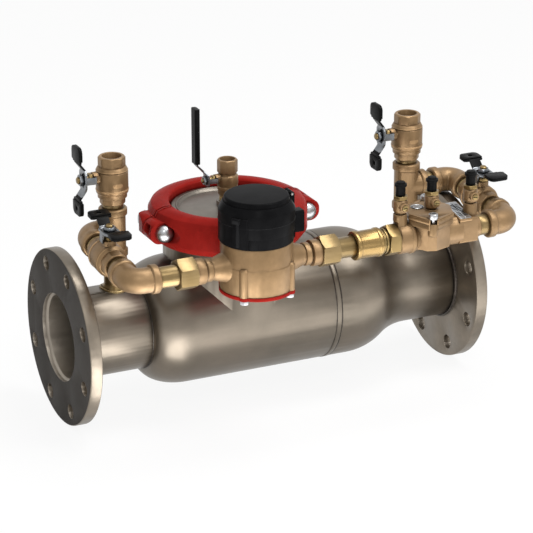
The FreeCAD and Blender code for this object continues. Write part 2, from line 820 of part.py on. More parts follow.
# Ball valves are drawn with the flow along local Z and the stem along local X.
def valve_casting(v):
    belly, up, down, end, foot = v["belly"], v["up"], v["down"], v["end"], v["foot"]
    step = (belly - end) / 2
    body = turned([(0, -v["belly_down"] - 6), (foot + 0.6, -v["belly_down"] - 6), (foot + 1.4, -v["belly_down"] - 5),
                   (foot + 1.4, -v["belly_down"]), (belly - 1, -v["belly_down"]), (belly, -v["belly_down"] + 2),
                   (belly, v["belly_up"] - 2), (belly - step, v["belly_up"]), (end - 1.4, v["belly_up"] + 1.4),
                   (end - 1.4, v["belly_up"] + 3), (0, v["belly_up"] + 3)])
    end_start = v["belly_up"] + 3
    end_grip = prism(corners(8, 2 * end - 1, 22.5), up - end_start, V(0, 0, end_start))
    end_crown = turned([(0, end_start), (end - 1.4, end_start), (end + 0.6, end_start + 2), (end + 0.6, up - 1.6),
                        (end - 1.2, up), (0, up)])
    nose = prism(corners(8, 2 * foot - 1, 22.5), down - v["belly_down"] - 5, V(0, 0, -down))
    crown = turned([(0, -down), (foot - 1.2, -down), (foot + 0.4, -down + 1.6), (foot + 0.4, -v["belly_down"] - 5),
                    (0, -v["belly_down"] - 5)])
    boss = rod(v["boss"], v["boss_end"], ORIGIN, EAST)
    lugs = []
    for degrees in (-lug_before, 90 + lug_before):
        lug = block((v["boss_end"] - lug_length, v["boss"] - 3, -lug_half_width),
                    (v["boss_end"], v["lug"], lug_half_width))
        lug.rotate(ORIGIN, WEST, degrees)
        lugs.append(lug)
    solid = fuse(body, end_grip.common(end_crown), nose.common(crown), boss, *lugs)
    ball_room = Part.makeSphere(v["ball"] + ball_gap)
    bore = rod(v["port"], up + down, V(0, 0, -down))
    stem_hole = rod(v["stem"] + running, v["boss_end"], ORIGIN, EAST)
    return cut(solid, bore, stem_hole, ball_room, rod(v["thread"], v["depth"], V(0, 0, -down)),
               rod(v["thread"], v["depth"], V(0, 0, up), DOWN))


def valve_gland(v):
    return hex_bar(v["gland"], v["gland_length"], v["stem"] + running, V(v["boss_end"], 0, 0), EAST)


def valve_stem(v):
    ball = Part.makeSphere(v["ball"])
    stem = turned([(0, 0), (v["stem"], 0), (v["stem"], v["tip"] - 1), (v["stem"] - 1, v["tip"]), (0, v["tip"])],
                  ORIGIN, EAST)
    bore = rod(v["port"], 2 * v["ball"], V(0, 0, -v["ball"]))
    return fuse(ball, stem).cut(bore)


def valve_nut(v):
    start = v["plate"] + v["plate_thick"]
    return hex_bar(v["nut"], v["nut_length"], v["stem"] + running, V(start, 0, 0), EAST)


# The side view of a tee handle as a ribbon: flat hub, a bend outward on each side, flat wings.
def handle_ribbon(low, thick, reach):
    top = low + thick
    points = [(-flat_half, low), (flat_half, low), (ramp_end, low + wing_offset), (reach, low + wing_offset),
              (reach, top + wing_offset), (ramp_end - 1, top + wing_offset), (flat_half - 1, top),
              (1 - flat_half, top), (1 - ramp_end, top + wing_offset), (-reach, top + wing_offset),
              (-reach, low + wing_offset), (-ramp_end, low + wing_offset)]
    ribbon = outline([(x, z) for z, x in points], True).extrude(V(0, 2 * wing_half, 0))
    ribbon.translate(V(0, -wing_half, 0))
    return ribbon


# The front view of one wing, in local Y and Z.
def wing_front(half, start, reach):
    tip = wing_round + half - wing_half
    k = tip * (1 - math.sqrt(0.5))
    points = [(half - 1, start), (half, start + 1), (half, reach - tip), ((half - k, reach - k), (half - tip, reach)),
              (tip - half, reach), ((k - half, reach - k), (-half, reach - tip)), (-half, start + 1),
              (1 - half, start)]
    return prism(points, 2 * handle_half, ORIGIN, EAST, NORTH)


def handle_front(half, reach):
    quarter = [(hub_half, hub_length), (waist_half, hub_length + 5), (waist_half, grip_from)]
    upper = quarter + [(-y, z) for y, z in reversed(quarter)]
    hub = prism(upper + [(-y, -z) for y, z in upper], 2 * handle_half, ORIGIN, EAST, NORTH)
    wings = [wing_front(half, wing_start - 3, reach), wing_front(half, wing_start - 3, reach)]
    wings[1].rotate(ORIGIN, EAST, 180)
    return fuse(hub, *wings)


def tee_handle(v):
    low, core = v["plate"], v["plate_thick"]
    cover = (wing_thick - core) / 2
    steel = handle_ribbon(low, core, handle_half).common(handle_front(wing_half - cover, handle_half - cover))
    tab = block((low - tab_length, hub_half - tab_thick, -tab_half), (low + core, hub_half, tab_half))
    steel = fuse(steel, tab).cut(rod(v["stem"] + running, low, V(low - nudge, 0, 0), EAST))
    hang = rod(hang_hole, wing_thick + 4, V(low + wing_offset - 2, 0, hang_place), EAST)
    grips = []
    for turn in (0, 180):
        grip = wing_front(wing_half, grip_from, handle_half)
        grip.rotate(ORIGIN, EAST, turn)
        grips.append(handle_ribbon(low - cover, wing_thick, handle_half).common(grip).cut(steel).cut(hang))
    return [steel.cut(hang)] + grips + [valve_nut(v)]


def lever():
    low, thick = vent["plate"], vent["plate_thick"]
    high = low + lever_offset
    points = [(-lever_foot, low), (lever_foot, low), (lever_rise, high), (lever_end, high),
              (lever_end, high + thick), (lever_rise - 1, high + thick), (lever_foot - 1, low + thick),
              (-lever_foot, low + thick)]
    ribbon = outline([(x, z) for z, x in points], True).extrude(V(0, 2 * lever_hub, 0))
    ribbon.translate(V(0, -lever_hub, 0))
    front = [(lever_hub, -lever_foot + 3), (lever_hub, lever_foot), (lever_half, lever_foot + 6),
             (lever_half, lever_end), (-lever_half, lever_end), (-lever_half, lever_foot + 6),
             (-lever_hub, lever_foot), (-lever_hub, -lever_foot + 3), (3 - lever_hub, -lever_foot),
             (lever_hub - 3, -lever_foot)]
    plate = ribbon.common(prism(front, low + lever_offset + 2 * thick, ORIGIN, EAST, NORTH))
    tab = block((low - lever_tab, lever_hub - thick, -3.0), (low + thick, lever_hub, 3.0))
    plate = fuse(plate, tab)
    return plate.cut(rod(vent["stem"] + running, low, V(low - nudge, 0, 0), EAST))


def lever_grip():
    middle = vent["plate"] + lever_offset + vent["plate_thick"] / 2
    grip = prism(rounded(grip_thick, 2 * grip_half, grip_round), grip_end - grip_start, V(middle, 0, grip_start))
    return grip.cut(lever())


# A drawn valve moved to its place in the assembly.
def place_valve(shape, ball, flow, side, on_swing):
    placed = put(shape, ball, flow, side)
    return swing(placed) if on_swing else placed


# Water meter
def meter_end(way):
    return turned([(0, cone_start), (cone_wide, cone_start), (cone_neck, cone_end), (bead_radius - 1, cone_end),
                   (bead_radius, cone_end + 1), (bead_radius, cone_end + bead_length - 1),
                   (bead_radius - 1, cone_end + bead_length), (cone_neck, cone_end + bead_length + 1.4),
                   (spud_radius, cone_end + bead_length + 2.4), (spud_radius, union_inner - free_gap),
                   (union_thread, union_inner - free_gap), (union_thread, spud_end), (0, spud_end)],
                  bypass_line + EAST * meter_x, way)


def meter_corners():
    middle = V(meter_x, bypass_y, 0)
    angles = [math.radians(45 + 90 * number) for number in range(4)]
    return [middle + V(boss_circle * math.cos(angle), boss_circle * math.sin(angle), 0) for angle in angles]


def meter_case():
    middle = V(meter_x, bypass_y, 0)
    side = case_radius
    body = turned([(0, case_bottom), (skirt_radius, case_bottom), (skirt_radius, skirt_top - 1.5),
                   (side, skirt_top), (side, case_top - 1), (side - 1, case_top), (0, case_top)], middle)
    bosses = [turned([(0, 0), (boss_radius, 0), (boss_radius, skirt_top - case_bottom - 1),
                      (boss_radius - 2, skirt_top - case_bottom + 1.5), (0, skirt_top - case_bottom + 1.5)],
                     place + UP * case_bottom) for place in meter_corners()]
    body = fuse(body, meter_end(EAST), meter_end(WEST), *bosses)
    holes = [rod(plate_bolt / 2 + running, plate_bolt_depth + 1, place + UP * case_bottom)
             for place in meter_corners()]
    room = rod(case_radius - case_wall, case_top - case_lid - case_bottom, middle + UP * case_bottom)
    port = rod(port_bore, meter_laying, bypass_line + EAST * (meter_x - spud_end), EAST)
    return cut(body, room, port, *holes)


def meter_bottom():
    middle = V(meter_x, bypass_y, case_bottom - plate_thick)
    lobes = [rod(boss_radius + 0.3, plate_thick, V(place.x, place.y, middle.z)) for place in meter_corners()]
    holes = [rod(plate_bolt / 2 + running, plate_thick, V(place.x, place.y, middle.z)) for place in meter_corners()]
    return cut(fuse(rod(plate_radius, plate_thick, middle), *lobes), *holes)


def meter_bolts():
    solids = []
    for place in meter_corners():
        at = V(place.x, place.y, case_bottom - plate_thick)
        head = hex_bar(plate_head, plate_head_height, 0, at, DOWN)
        solids.append(fuse(head, rod(plate_bolt / 2, plate_thick + plate_bolt_depth, at)))
    return group(solids)


def measuring_chamber():
    at = V(meter_x, bypass_y, case_bottom)
    can = rod(chamber_radius, chamber_height, at)
    room = rod(chamber_radius - chamber_wall, chamber_height - 2 * chamber_wall, at + UP * chamber_wall)
    port = rod(port_bore, 2 * chamber_radius, bypass_line + EAST * (meter_x - chamber_radius), EAST)
    return can.cut(room).cut(port)


# Union nuts, washers and tailpieces at both ends of the meter
def union_nut(way):
    start = bypass_line + EAST * meter_x + way * union_inner
    lip = spud_end + washer_thick + tail_flange + seat_gap
    nut = hex_bar(union_flats, union_outer - union_inner, tube_radius + free_gap, start, way, UP)
    return nut.cut(rod(union_thread + free_gap, lip - union_inner, start, way))


def union_washer(way):
    return tube(union_thread, port_bore, washer_thick, bypass_line + EAST * meter_x + way * spud_end, way)


def tailpiece(way):
    start = spud_end + washer_thick
    plug = thread_radius - running
    return turned([(bore_radius, start), (union_thread, start), (union_thread, start + tail_flange),
                   (tube_radius, start + tail_flange), (tube_radius, tail_end), (plug, tail_end),
                   (plug, tail_end + engage), (bore_radius, tail_end + engage)],
                  bypass_line + EAST * meter_x, way)


# Register on top of the meter
def sector(inner, outer, from_degrees, to_degrees, low, high):
    ring = tube(outer, inner, high - low, V(0, 0, low))
    angles = [math.radians(from_degrees + (to_degrees - from_degrees) * share) for share in (0, 0.5, 1)]
    fan = [(0, 0)] + [(3 * outer * math.cos(angle), 3 * outer * math.sin(angle)) for angle in angles]
    return ring.common(prism(fan, high - low, V(0, 0, low)))


def register_housing():
    glass_floor = register_height - glass_depth
    dial_floor = register_height - dial_depth - dial_thick
    body = turned([(0, 0), (register_radius - 1.2, 0), (register_radius - 1.2, 1.6), (register_radius, 2.0),
                   (register_radius, register_side), (register_shoulder, register_height),
                   (glass_radius + free_gap, register_height), (glass_radius + free_gap, glass_floor),
                   (dial_radius + free_gap, glass_floor), (dial_radius + free_gap, dial_floor), (0, dial_floor)])
    band = sector(register_radius - band_inset, register_radius + nudge, band_from, band_to, 0, band_height)
    latch = sector(register_shoulder - 4, register_radius + latch_proud, latch_from, latch_to, 1.0, latch_height)
    lug = rounded(lug_high - lug_low, 2 * lug_half, lug_round)
    lug = prism(lug, lug_reach - register_shoulder, V(register_shoulder, 0, (lug_low + lug_high) / 2), EAST, UP)
    body = fuse(body.cut(band), lug, latch)
    body = body.cut(rod(pointer_pin + running, dial_floor, V(0, 0, dial_floor - pin_depth)))
    axle = hinge_place - V(meter_x, bypass_y, register_low)
    ears = []
    for sign in (-1, 1):
        inner = sign * (knuckle_half + free_gap)
        ear = rod(hinge_radius, ear_width, axle + NORTH * inner, NORTH * sign)
        y_low, y_high = sorted((inner, inner + sign * ear_width))
        web = block((axle.x - hinge_radius + 0.8, y_low, register_side), (axle.x + hinge_radius, y_high, axle.z))
        ears += [ear, web]
    hole = rod(hinge_pin + running, 4 * ear_width + 2 * knuckle_half, axle - NORTH * (2 * ear_width + knuckle_half),
               NORTH)
    body = fuse(body, *ears).cut(hole)
    return put(body, V(meter_x, bypass_y, register_low))


def register_dial():
    at = V(meter_x, bypass_y, register_low + register_height - dial_depth - dial_thick)
    return tube(dial_radius, pointer_pin + running, dial_thick, at)


def register_pointer():
    top = register_height - dial_depth
    hub = rod(pointer_hub, 2.4, V(0, 0, top + 0.6))
    pin = rod(pointer_pin, dial_thick + pin_depth + 1.0, V(0, 0, top - dial_thick - pin_depth + 0.4))
    blade = prism([(-pointer_tail, -1.1), (pointer_length, -0.35), (pointer_length, 0.35), (-pointer_tail, 1.1)],
                  0.8, V(0, 0, top + 1.4))
    pointer = fuse(hub, pin, blade)
    return put(turn_z(pointer, pointer_rest), V(meter_x, bypass_y, register_low))


def register_glass():
    return rod(glass_radius, glass_thick, V(meter_x, bypass_y, register_low + register_height - glass_depth))


def register_lid():
    round_off = 3.0
    bulge = round_off * 0.3
    slope = (lid_radius - lid_top) / lid_height
    upper = lid_radius - slope * (lid_height - round_off)
    shell = turned([(lid_radius, 0), (upper, lid_height - round_off),
                    ((upper - bulge, lid_height - bulge), (upper - round_off, lid_height)), (0, lid_height),
                    (0, lid_height - lid_wall), (upper - lid_wall - 1, lid_height - lid_wall),
                    (lid_radius - lid_wall, 0)], V(meter_x, bypass_y, lid_low))
    axle = hinge_place
    knuckle = rod(hinge_radius, 2 * knuckle_half, axle - NORTH * knuckle_half, NORTH)
    arm = block((meter_x + lid_radius - lid_wall + 0.6, bypass_y - knuckle_half, axle.z - 1.4),
                (axle.x, bypass_y + knuckle_half, axle.z + 2.0))
    hole = rod(hinge_pin + running, 2 * knuckle_half, axle - NORTH * knuckle_half, NORTH)
    return fuse(shell, knuckle, arm).cut(hole)


def lid_pin():
    half = knuckle_half + free_gap + ear_width
    return rod(hinge_pin, 2 * half, hinge_place - NORTH * half, NORTH)


# Sleeve and bushing between the meter and the bypass check
def sleeve():
    at = bypass_line + EAST * sleeve_start
    bead, beyond = sleeve_radius + sleeve_bead, sleeve_length
    points = [(bore_radius, thread_depth), (thread_radius, thread_depth), (thread_radius, 0), (bead - 1, 0), (bead, 1),
              (bead, 5), (sleeve_radius, 6), (sleeve_radius, beyond - 6), (bead, beyond - 5), (bead, beyond - 1),
              (bead - 1, beyond), (thread_radius, beyond), (thread_radius, beyond - thread_depth),
              (bore_radius, beyond - thread_depth)]
    return turned(points, at, EAST)


def bushing():
    plug, ring = thread_radius - running, groove_radius + 1.4
    start, middle, end = groove_start, hex_start, check_start
    neck = turned([(bore_radius, start - engage), (plug, start - engage), (plug, start), (ring, start),
                   (ring, start + 2.4), (groove_radius, start + 2.4), (groove_radius, start + 4.6),
                   (ring, start + 4.6), (ring, start + 7), (groove_radius, start + 7), (groove_radius, middle),
                   (groove_radius, end), (plug, end), (plug, end + engage), (bore_radius, end + engage)],
                  bypass_line, EAST)
    grip = hex_bar(hex_flats, end - middle, groove_radius - 1, bypass_line + EAST * middle, EAST, UP)
    return fuse(neck, grip)


# Bypass check valve
def cover_points(inset, side_inset):
    half, tip, shoulder, side = cover_half - inset, cover_tip, cover_shoulder, cover_side - side_inset
    quarter = [(half, tip), (shoulder, side)]
    ring = quarter + [(-u, v) for u, v in reversed(quarter)]
    return ring + [(u, -v) for u, v in reversed(ring)]


# The cover lies across the line, turned a little.
def cover_place(shape, low):
    return put(turn_z(shape, 90 - cover_turn), V(cover_x, bypass_y, low))


def cover_spots():
    angle = math.radians(90 - cover_turn)
    long_way = V(math.cos(angle), math.sin(angle), 0)
    return [V(cover_x, bypass_y, 0) + long_way * (sign * cover_bolt_at) for sign in (-1, 1)]


def cover_prism(inset, side_inset, low, high):
    return cover_place(prism(cover_points(inset, side_inset), high - low), low)


def check_body():
    face = cover_top - cover_thick
    ring_start = check_inlet_end - check_ring_length
    line = turned([(0, check_start), (check_inlet - 1.5, check_start), (check_inlet, check_start + 1.5),
                   (check_inlet, ring_start), (check_inlet + check_ring, ring_start + check_ring),
                   (check_inlet + check_ring, check_inlet_end - 2 * check_ring), (check_core, check_inlet_end),
                   (check_core, check_core_end), (outlet_round, check_core_end + 2),
                   (outlet_round, check_outlet_end - 1.5), (outlet_round - 1.5, check_outlet_end),
                   (0, check_outlet_end)], bypass_line, EAST)
    corner = bypass_line + EAST * outlet_block[0] + UP * (block_rise / 2)
    square = rounded(2 * block_half + block_rise, 2 * block_half, 3.0)
    box = prism(square, outlet_block[1] - outlet_block[0], corner, EAST, UP)
    tall = cock_base - bypass_z
    posts = [turned([(0, 0), (cock_foot, 0), (cock_foot, tall - 1), (cock_foot - 1, tall), (0, tall)],
                    V(x, bypass_y, bypass_z)) for x in (cock_places[0], cock_places[2])]
    lobes = [turned([(0, 0), (lobe_radius - 2, 0), (lobe_radius, 2), (lobe_radius, lobe_depth), (0, lobe_depth)],
                    spot + UP * (face - lobe_depth)) for spot in cover_spots()]
    solid = fuse(line, cover_prism(lip_inset, lip_inset, face - lip_depth, face),
                 cover_prism(body_inset, body_side_inset, body_low, face), box, *posts, *lobes)
    hex_top = bypass_z + hex_flats / 2 / math.cos(math.pi / 6) + 3.0
    bushing_room = block((hex_start, bypass_y - cock_foot, bypass_z), (check_start, bypass_y + cock_foot, hex_top))
    solid = solid.cut(bushing_room)
    first, second = small_seats
    plug_end = check_start + thread_depth
    bores = [turned([(0, check_start), (thread_radius, check_start), (thread_radius, plug_end), (small_bore, plug_end),
                     (small_bore, first), (small_room, first), (small_room, second - small_wall),
                     (small_bore, second - small_wall), (small_bore, second), (small_room, second),
                     (small_room, small_room_end), (bore_radius, small_room_end),
                     (bore_radius, check_outlet_end - thread_depth), (thread_radius, check_outlet_end - thread_depth),
                     (thread_radius, check_outlet_end), (0, check_outlet_end)], bypass_line, EAST)]
    bores.append(rod(cock_bore, cock_base - duct_z, V(cock_places[0], bypass_y, duct_z)))
    bores.append(rod(cock_bore, duct_x - cock_places[0], V(cock_places[0], bypass_y, duct_z), EAST))
    bores.append(rod(cock_bore, duct_z - bypass_z, V(duct_x, bypass_y, bypass_z)))
    bores.append(rod(cock_bore, face - bypass_z, V(cock_places[1], bypass_y, bypass_z)))
    bores.append(rod(cock_bore, cock_base - bypass_z, V(cock_places[2], bypass_y, bypass_z)))
    for x in (cock_places[0], cock_places[2]):
        bores.append(rod(cock_thread + running, cock_thread_depth, V(x, bypass_y, cock_base), DOWN))
    for spot in cover_spots():
        bores.append(rod(cover_bolt / 2 + running, cover_bolt_depth + 1, spot + UP * face, DOWN))
    return cut(solid, *bores)


def check_cover():
    face = cover_top - cover_thick
    plate = fuse(cover_prism(0, 0, face, cover_top - cover_edge),
                 cover_prism(cover_edge, cover_edge, cover_top - cover_edge, cover_top),
                 rod(cock_foot, cock_base - face, V(cock_places[1], bypass_y, face)))
    holes = [rod(cover_bolt / 2 + running, cover_thick, spot + UP * face) for spot in cover_spots()]
    slot = block((cover_bolt_at, -cover_slot, 0), (cover_half + nudge, cover_slot, cover_thick))
    slots = [cover_place(turn_z(slot, turn), face) for turn in (0, 180)]
    cock_hole = rod(cock_thread + running, cock_base - face, V(cock_places[1], bypass_y, face))
    return cut(plate, cock_hole, *holes, *slots)


def cover_screws():
    solids = []
    for spot in cover_spots():
        at = spot + UP * cover_top
        head = turned([(0, 0), (cover_head / 2, 0), (cover_head / 2, cover_head_height - 0.8),
                       (cover_head / 2 - 0.8, cover_head_height), (0, cover_head_height)], at)
        socket = prism(corners(6, 5.0), 3.5, at + UP * (cover_head_height - 3.5))
        solids.append(fuse(head, rod(cover_bolt / 2, cover_thick + cover_bolt_depth, at, DOWN)).cut(socket))
    return group(solids)


def poppet(seat):
    start = seat + seat_gap
    back = start + small_disc_thick
    disc = turned([(0, start), (small_disc - 0.6, start), (small_disc, start + 0.6), (small_disc, back),
                   (small_post, back), (small_post, back + post_length), (0, back + post_length)],
                  bypass_line, EAST)
    reach = small_bore - running
    wings = [block((start - wing_length, bypass_y - half_y, bypass_z - half_z),
                   (start, bypass_y + half_y, bypass_z + half_z))
             for half_y, half_z in ((reach, small_wing_thick / 2), (small_wing_thick / 2, reach))]
    turned_wings = fuse(*wings).common(rod(reach, wing_length, bypass_line + EAST * (start - wing_length), EAST))
    return fuse(disc, turned_wings)


def poppet_spring(seat, end):
    start = seat + seat_gap + small_disc_thick + seat_gap
    return coil(small_spring, small_wire, end - start - seat_gap, small_turns, bypass_line + EAST * start, EAST)


# Test cocks, drawn from their base upward with the stem towards the front
def cock_body():
    low, high = cock_hex
    top = cock_nozzle_top
    body = turned([(0, -cock_depth), (cock_thread, -cock_depth), (cock_thread, 0), (cock_waist - 1, 0),
                   (cock_waist, 1), (cock_barrel, 4), (cock_barrel, low - 2), (cock_waist, low), (cock_nozzle, low),
                   (cock_nozzle, top - 0.6), (cock_nozzle - 0.6, top), (0, top)])
    middle = V(0, 0, cock_ball_height)
    solid = fuse(body, hex_bar(cock_hex_flats, high - low, 0, V(0, 0, low)),
                 rod(cock_boss, cock_boss_reach, middle, SOUTH))
    return cut(solid, rod(cock_bore, cock_depth + top, V(0, 0, -cock_depth)),
               rod(cock_stem_radius + running, cock_boss_reach, middle, SOUTH),
               Part.makeSphere(cock_ball + ball_gap, middle))


def cock_stem():
    middle = V(0, 0, cock_ball_height)
    stem = fuse(Part.makeSphere(cock_ball, middle), rod(cock_stem_radius, cock_stem_reach, middle, SOUTH))
    slot = block((-cock_stem_radius - 1, -cock_stem_reach - 1, cock_ball_height - cock_slot / 2),
                 (cock_stem_radius + 1, 2.0 - cock_stem_reach, cock_ball_height + cock_slot / 2))
    return cut(stem, rod(cock_bore, 2 * cock_ball, V(0, 0, cock_ball_height - cock_ball)), slot)


def cock_cap_shape():
    low, high = cock_hex[1] + free_gap, cock_cap_top
    inner, rim = cock_nozzle + free_gap, high - cock_cap_flange_thick - 2.5
    return turned([(inner, low), (cock_cap, low), (cock_cap, rim - 0.8), (cock_cap_flange, rim),
                   (cock_cap_flange, rim + cock_cap_flange_thick), (cock_cap, rim + cock_cap_flange_thick + 0.5),
                   (cock_cap - 0.8, high), (0, high), (0, cock_nozzle_top + free_gap),
                   (inner, cock_nozzle_top + free_gap)])


# Everything at its place, one entry for each node
places = {"inlet_test": (V(inlet_riser_x, 0, test_valve_height), UP, WEST, False),
          "outlet_test": (V(outlet_riser_x, 0, test_valve_height), UP, WEST, False),
          "inlet_bypass": (V(inlet_elbow_x, -valve_ball, branch_height), SOUTH, UP, True),
          "outlet_bypass": (V(outlet_elbow_x, -valve_ball, branch_height), SOUTH, UP, True)}
vent_place = (V(neck_x, 0, vent_height), UP, WEST, False)
hinge_place = V(meter_x + hinge_offset, bypass_y, register_low + register_height + hinge_rise)
rear_inlet = V(inlet_elbow_x, 0, branch_height)
rear_outlet = V(outlet_elbow_x, 0, branch_height)
front_inlet = rear_inlet + SOUTH * swing_span
front_outlet = rear_outlet + SOUTH * swing_span

parts = {"inlet_flange": flange(0, EAST), "outlet_flange": flange(face_to_face, WEST),
         "inlet_pipe": inlet_pipe(), "valve_shell": valve_shell(), "shell_band": weld_band(),
         "outlet_reducer": outlet_reducer(), "neck_cap": neck_cap()}
parts["clamp_half_front"], parts["clamp_half_rear"] = clamp_halves()
parts["clamp_bolts"] = clamp_bolts()
parts["gaskets"] = group([clamp_gasket(), union_washer(EAST), union_washer(WEST)])
for name, seat in zip(("inlet", "outlet"), check_seats):
    parts[name + "_check_cage"] = check_cage(seat)
    parts[name + "_check_disc"] = check_disc(seat)
    parts[name + "_check_spring"] = check_spring(seat)

parts["pipe_tees"] = group([tee(inlet_riser_x, WEST, inlet_branch, street_engage + 0.5),
                            tee(outlet_riser_x, EAST, outlet_branch, thread_depth)])
parts["pipe_elbows"] = group([swing(elbow(rear_inlet, EAST, SOUTH, True)), swing(elbow(rear_outlet, WEST, SOUTH)),
                              swing(elbow(front_inlet, NORTH, EAST)), swing(elbow(front_outlet, NORTH, WEST))])
nipples = [riser(inlet_riser_x), riser(outlet_riser_x)]
for x in (inlet_riser_x, outlet_riser_x):
    nipples.append(nipple(V(x, 0, branch_height + tee_leg), riser_gap, UP))
nipples.append(nipple(V(outlet_riser_x + outlet_branch, 0, branch_height),
                      outlet_elbow_x - elbow_leg - outlet_riser_x - outlet_branch, EAST))
for corner in (rear_inlet, rear_outlet):
    nipples.append(swing(nipple(corner + SOUTH * elbow_leg, valve_gap, SOUTH)))
    nipples.append(swing(nipple(corner + SOUTH * (valve_ball + service["up"]), front_gap, SOUTH)))
nipples.append(nipple(bypass_line + EAST * check_outlet_end, outlet_elbow_x - elbow_leg - check_outlet_end, EAST))
nipples.append(nipple(V(neck_x, 0, cap_boss_top), vent_height - vent["down"] - cap_boss_top, UP, vent_tube,
                      vent_bore, vent["thread"] - running, vent["depth"] - 1, cap_boss_top - cap_shoulder - 1))
parts["pipe_nipples"] = group(nipples)

casting, gland, stem, handle = valve_casting(service), valve_gland(service), valve_stem(service), tee_handle(service)
parts["ball_valve_bodies"] = group([place_valve(casting, *places[name]) for name in places])
service_glands = [place_valve(gland, *places[name]) for name in places]
parts["gland_nuts"] = group(service_glands + [place_valve(valve_gland(vent), *vent_place)])
for name in places:
    parts[name + "_stem"] = place_valve(stem, *places[name])
    parts[name + "_handle"] = group([place_valve(piece, *places[name]) for piece in handle])
parts["vent_valve_body"] = place_valve(valve_casting(vent), *vent_place)
parts["vent_stem"] = place_valve(valve_stem(vent), *vent_place)
parts["vent_lever"] = group([place_valve(piece, *vent_place) for piece in (lever(), valve_nut(vent))])
parts["vent_grip"] = place_valve(lever_grip(), *vent_place)

parts["meter_case"] = meter_case()
parts["meter_bottom_plate"] = meter_bottom()
parts["plate_bolts"] = meter_bolts()
parts["measuring_chamber"] = measuring_chamber()
parts["union_nuts"] = group([union_nut(EAST), union_nut(WEST)])
parts["meter_tailpieces"] = group([tailpiece(EAST), tailpiece(WEST)])
parts["register_housing"] = register_housing()
parts["register_dial"] = register_dial()
parts["register_pointer"] = register_pointer()
parts["register_glass"] = register_glass()
parts["register_lid"] = register_lid()
parts["lid_pin"] = lid_pin()
parts["sleeve_coupling"] = sleeve()
parts["hex_bushing"] = bushing()

parts["bypass_check_body"] = check_body()
parts["bypass_check_cover"] = check_cover()
parts["cover_screws"] = cover_screws()
spring_ends = (small_seats[1] - small_wall, small_room_end)
for name, seat, end in zip(("first", "second"), small_seats, spring_ends):
    parts[name + "_poppet"] = poppet(seat)
    parts[name + "_poppet_spring"] = poppet_spring(seat, end)
cock_bases = [V(x, bypass_y, cock_base) for x in cock_places]
parts["test_cock_bodies"] = group([put(cock_body(), base) for base in cock_bases])
parts["test_cock_caps"] = group([put(cock_cap_shape(), base) for base in cock_bases])
for number, base in enumerate(cock_bases):
    parts["test_cock_stem_%d" % (number + 1)] = put(cock_stem(), base)

os.makedirs("parts", exist_ok=True)
for name, shape in parts.items():
    shape.exportStep("parts/" + name + ".step")
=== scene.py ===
import bpy
import bmesh
import math
from mathutils import Matrix, Vector


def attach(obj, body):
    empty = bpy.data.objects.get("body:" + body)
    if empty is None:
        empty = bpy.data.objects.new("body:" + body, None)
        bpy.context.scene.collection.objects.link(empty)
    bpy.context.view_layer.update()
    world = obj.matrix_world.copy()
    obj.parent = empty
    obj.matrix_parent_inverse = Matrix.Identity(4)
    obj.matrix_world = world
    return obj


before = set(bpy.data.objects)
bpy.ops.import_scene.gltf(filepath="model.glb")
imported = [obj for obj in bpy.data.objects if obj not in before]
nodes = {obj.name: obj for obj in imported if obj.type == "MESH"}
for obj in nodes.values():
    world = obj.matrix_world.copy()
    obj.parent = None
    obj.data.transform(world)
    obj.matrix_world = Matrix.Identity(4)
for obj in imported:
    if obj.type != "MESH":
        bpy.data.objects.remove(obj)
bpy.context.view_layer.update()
scene = bpy.context.scene
print("stage: frame loaded")


def linear(hexColour):
    channels = [int(hexColour[i:i + 2], 16) / 255 for i in (1, 3, 5)]
    return [c / 12.92 if c <= 0.04045 else ((c + 0.055) / 1.055) ** 2.4 for c in channels] + [1.0]


def mm(*values):
    return Vector([value / 1000 for value in values])


# small helpers for the node trees
def addNode(tree, kind, inputs=None, **settings):
    node = tree.nodes.new(kind)
    for name, value in settings.items():
        setattr(node, name, value)
    for key, value in (inputs or {}).items():
        if isinstance(value, bpy.types.NodeSocket):
            tree.links.new(value, node.inputs[key])
        else:
            node.inputs[key].default_value = value
    return node


def newMaterial(name, **shader):
    material = bpy.data.materials.new(name)
    material.use_nodes = True
    tree = material.node_tree
    principled = tree.nodes["Principled BSDF"]
    for key, value in shader.items():
        principled.inputs[key].default_value = value
    return material, tree, principled


def objectCoords(tree, stretch=(1, 1, 1)):
    place = addNode(tree, "ShaderNodeTexCoord")
    return addNode(tree, "ShaderNodeMapping", {"Vector": place.outputs["Object"], "Scale": stretch}).outputs["Vector"]


# noise whose grains are about size millimetres across
def noise(tree, size, detail=3.0, stretch=(1, 1, 1), rough=0.55):
    return addNode(tree, "ShaderNodeTexNoise", {"Vector": objectCoords(tree, stretch), "Scale": 1000.0 / size,
                                                "Detail": detail, "Roughness": rough}).outputs["Fac"]


# lathe marks, one every pitch millimetres: rings on a turned face, bands along a turned cylinder
def latheMarks(tree, kind, pitch, direction, centre=(0, 0, 0)):
    place = addNode(tree, "ShaderNodeTexCoord")
    moved = addNode(tree, "ShaderNodeMapping", {"Vector": place.outputs["Object"], "Location": -mm(*centre)})
    return addNode(tree, "ShaderNodeTexWave", {"Vector": moved.outputs["Vector"], "Scale": 314.16 / pitch,
                                               "Distortion": 0.25, "Detail": 1.0}, wave_type=kind,
                   rings_direction=direction, bands_direction=direction).outputs["Fac"]


def ramp(tree, fac, low, high, lowColour, highColour):
    node = addNode(tree, "ShaderNodeValToRGB", {"Fac": fac})
    node.color_ramp.elements[0].position = low
    node.color_ramp.elements[1].position = high
    node.color_ramp.elements[0].color = lowColour
    node.color_ramp.elements[1].color = highColour
    return node.outputs["Color"]


def spread(tree, fac, low, high, fromLow=0.0, fromHigh=1.0):
    return addNode(tree, "ShaderNodeMapRange", {"Value": fac, "From Min": fromLow, "From Max": fromHigh,
                                                "To Min": low, "To Max": high}).outputs["Result"]


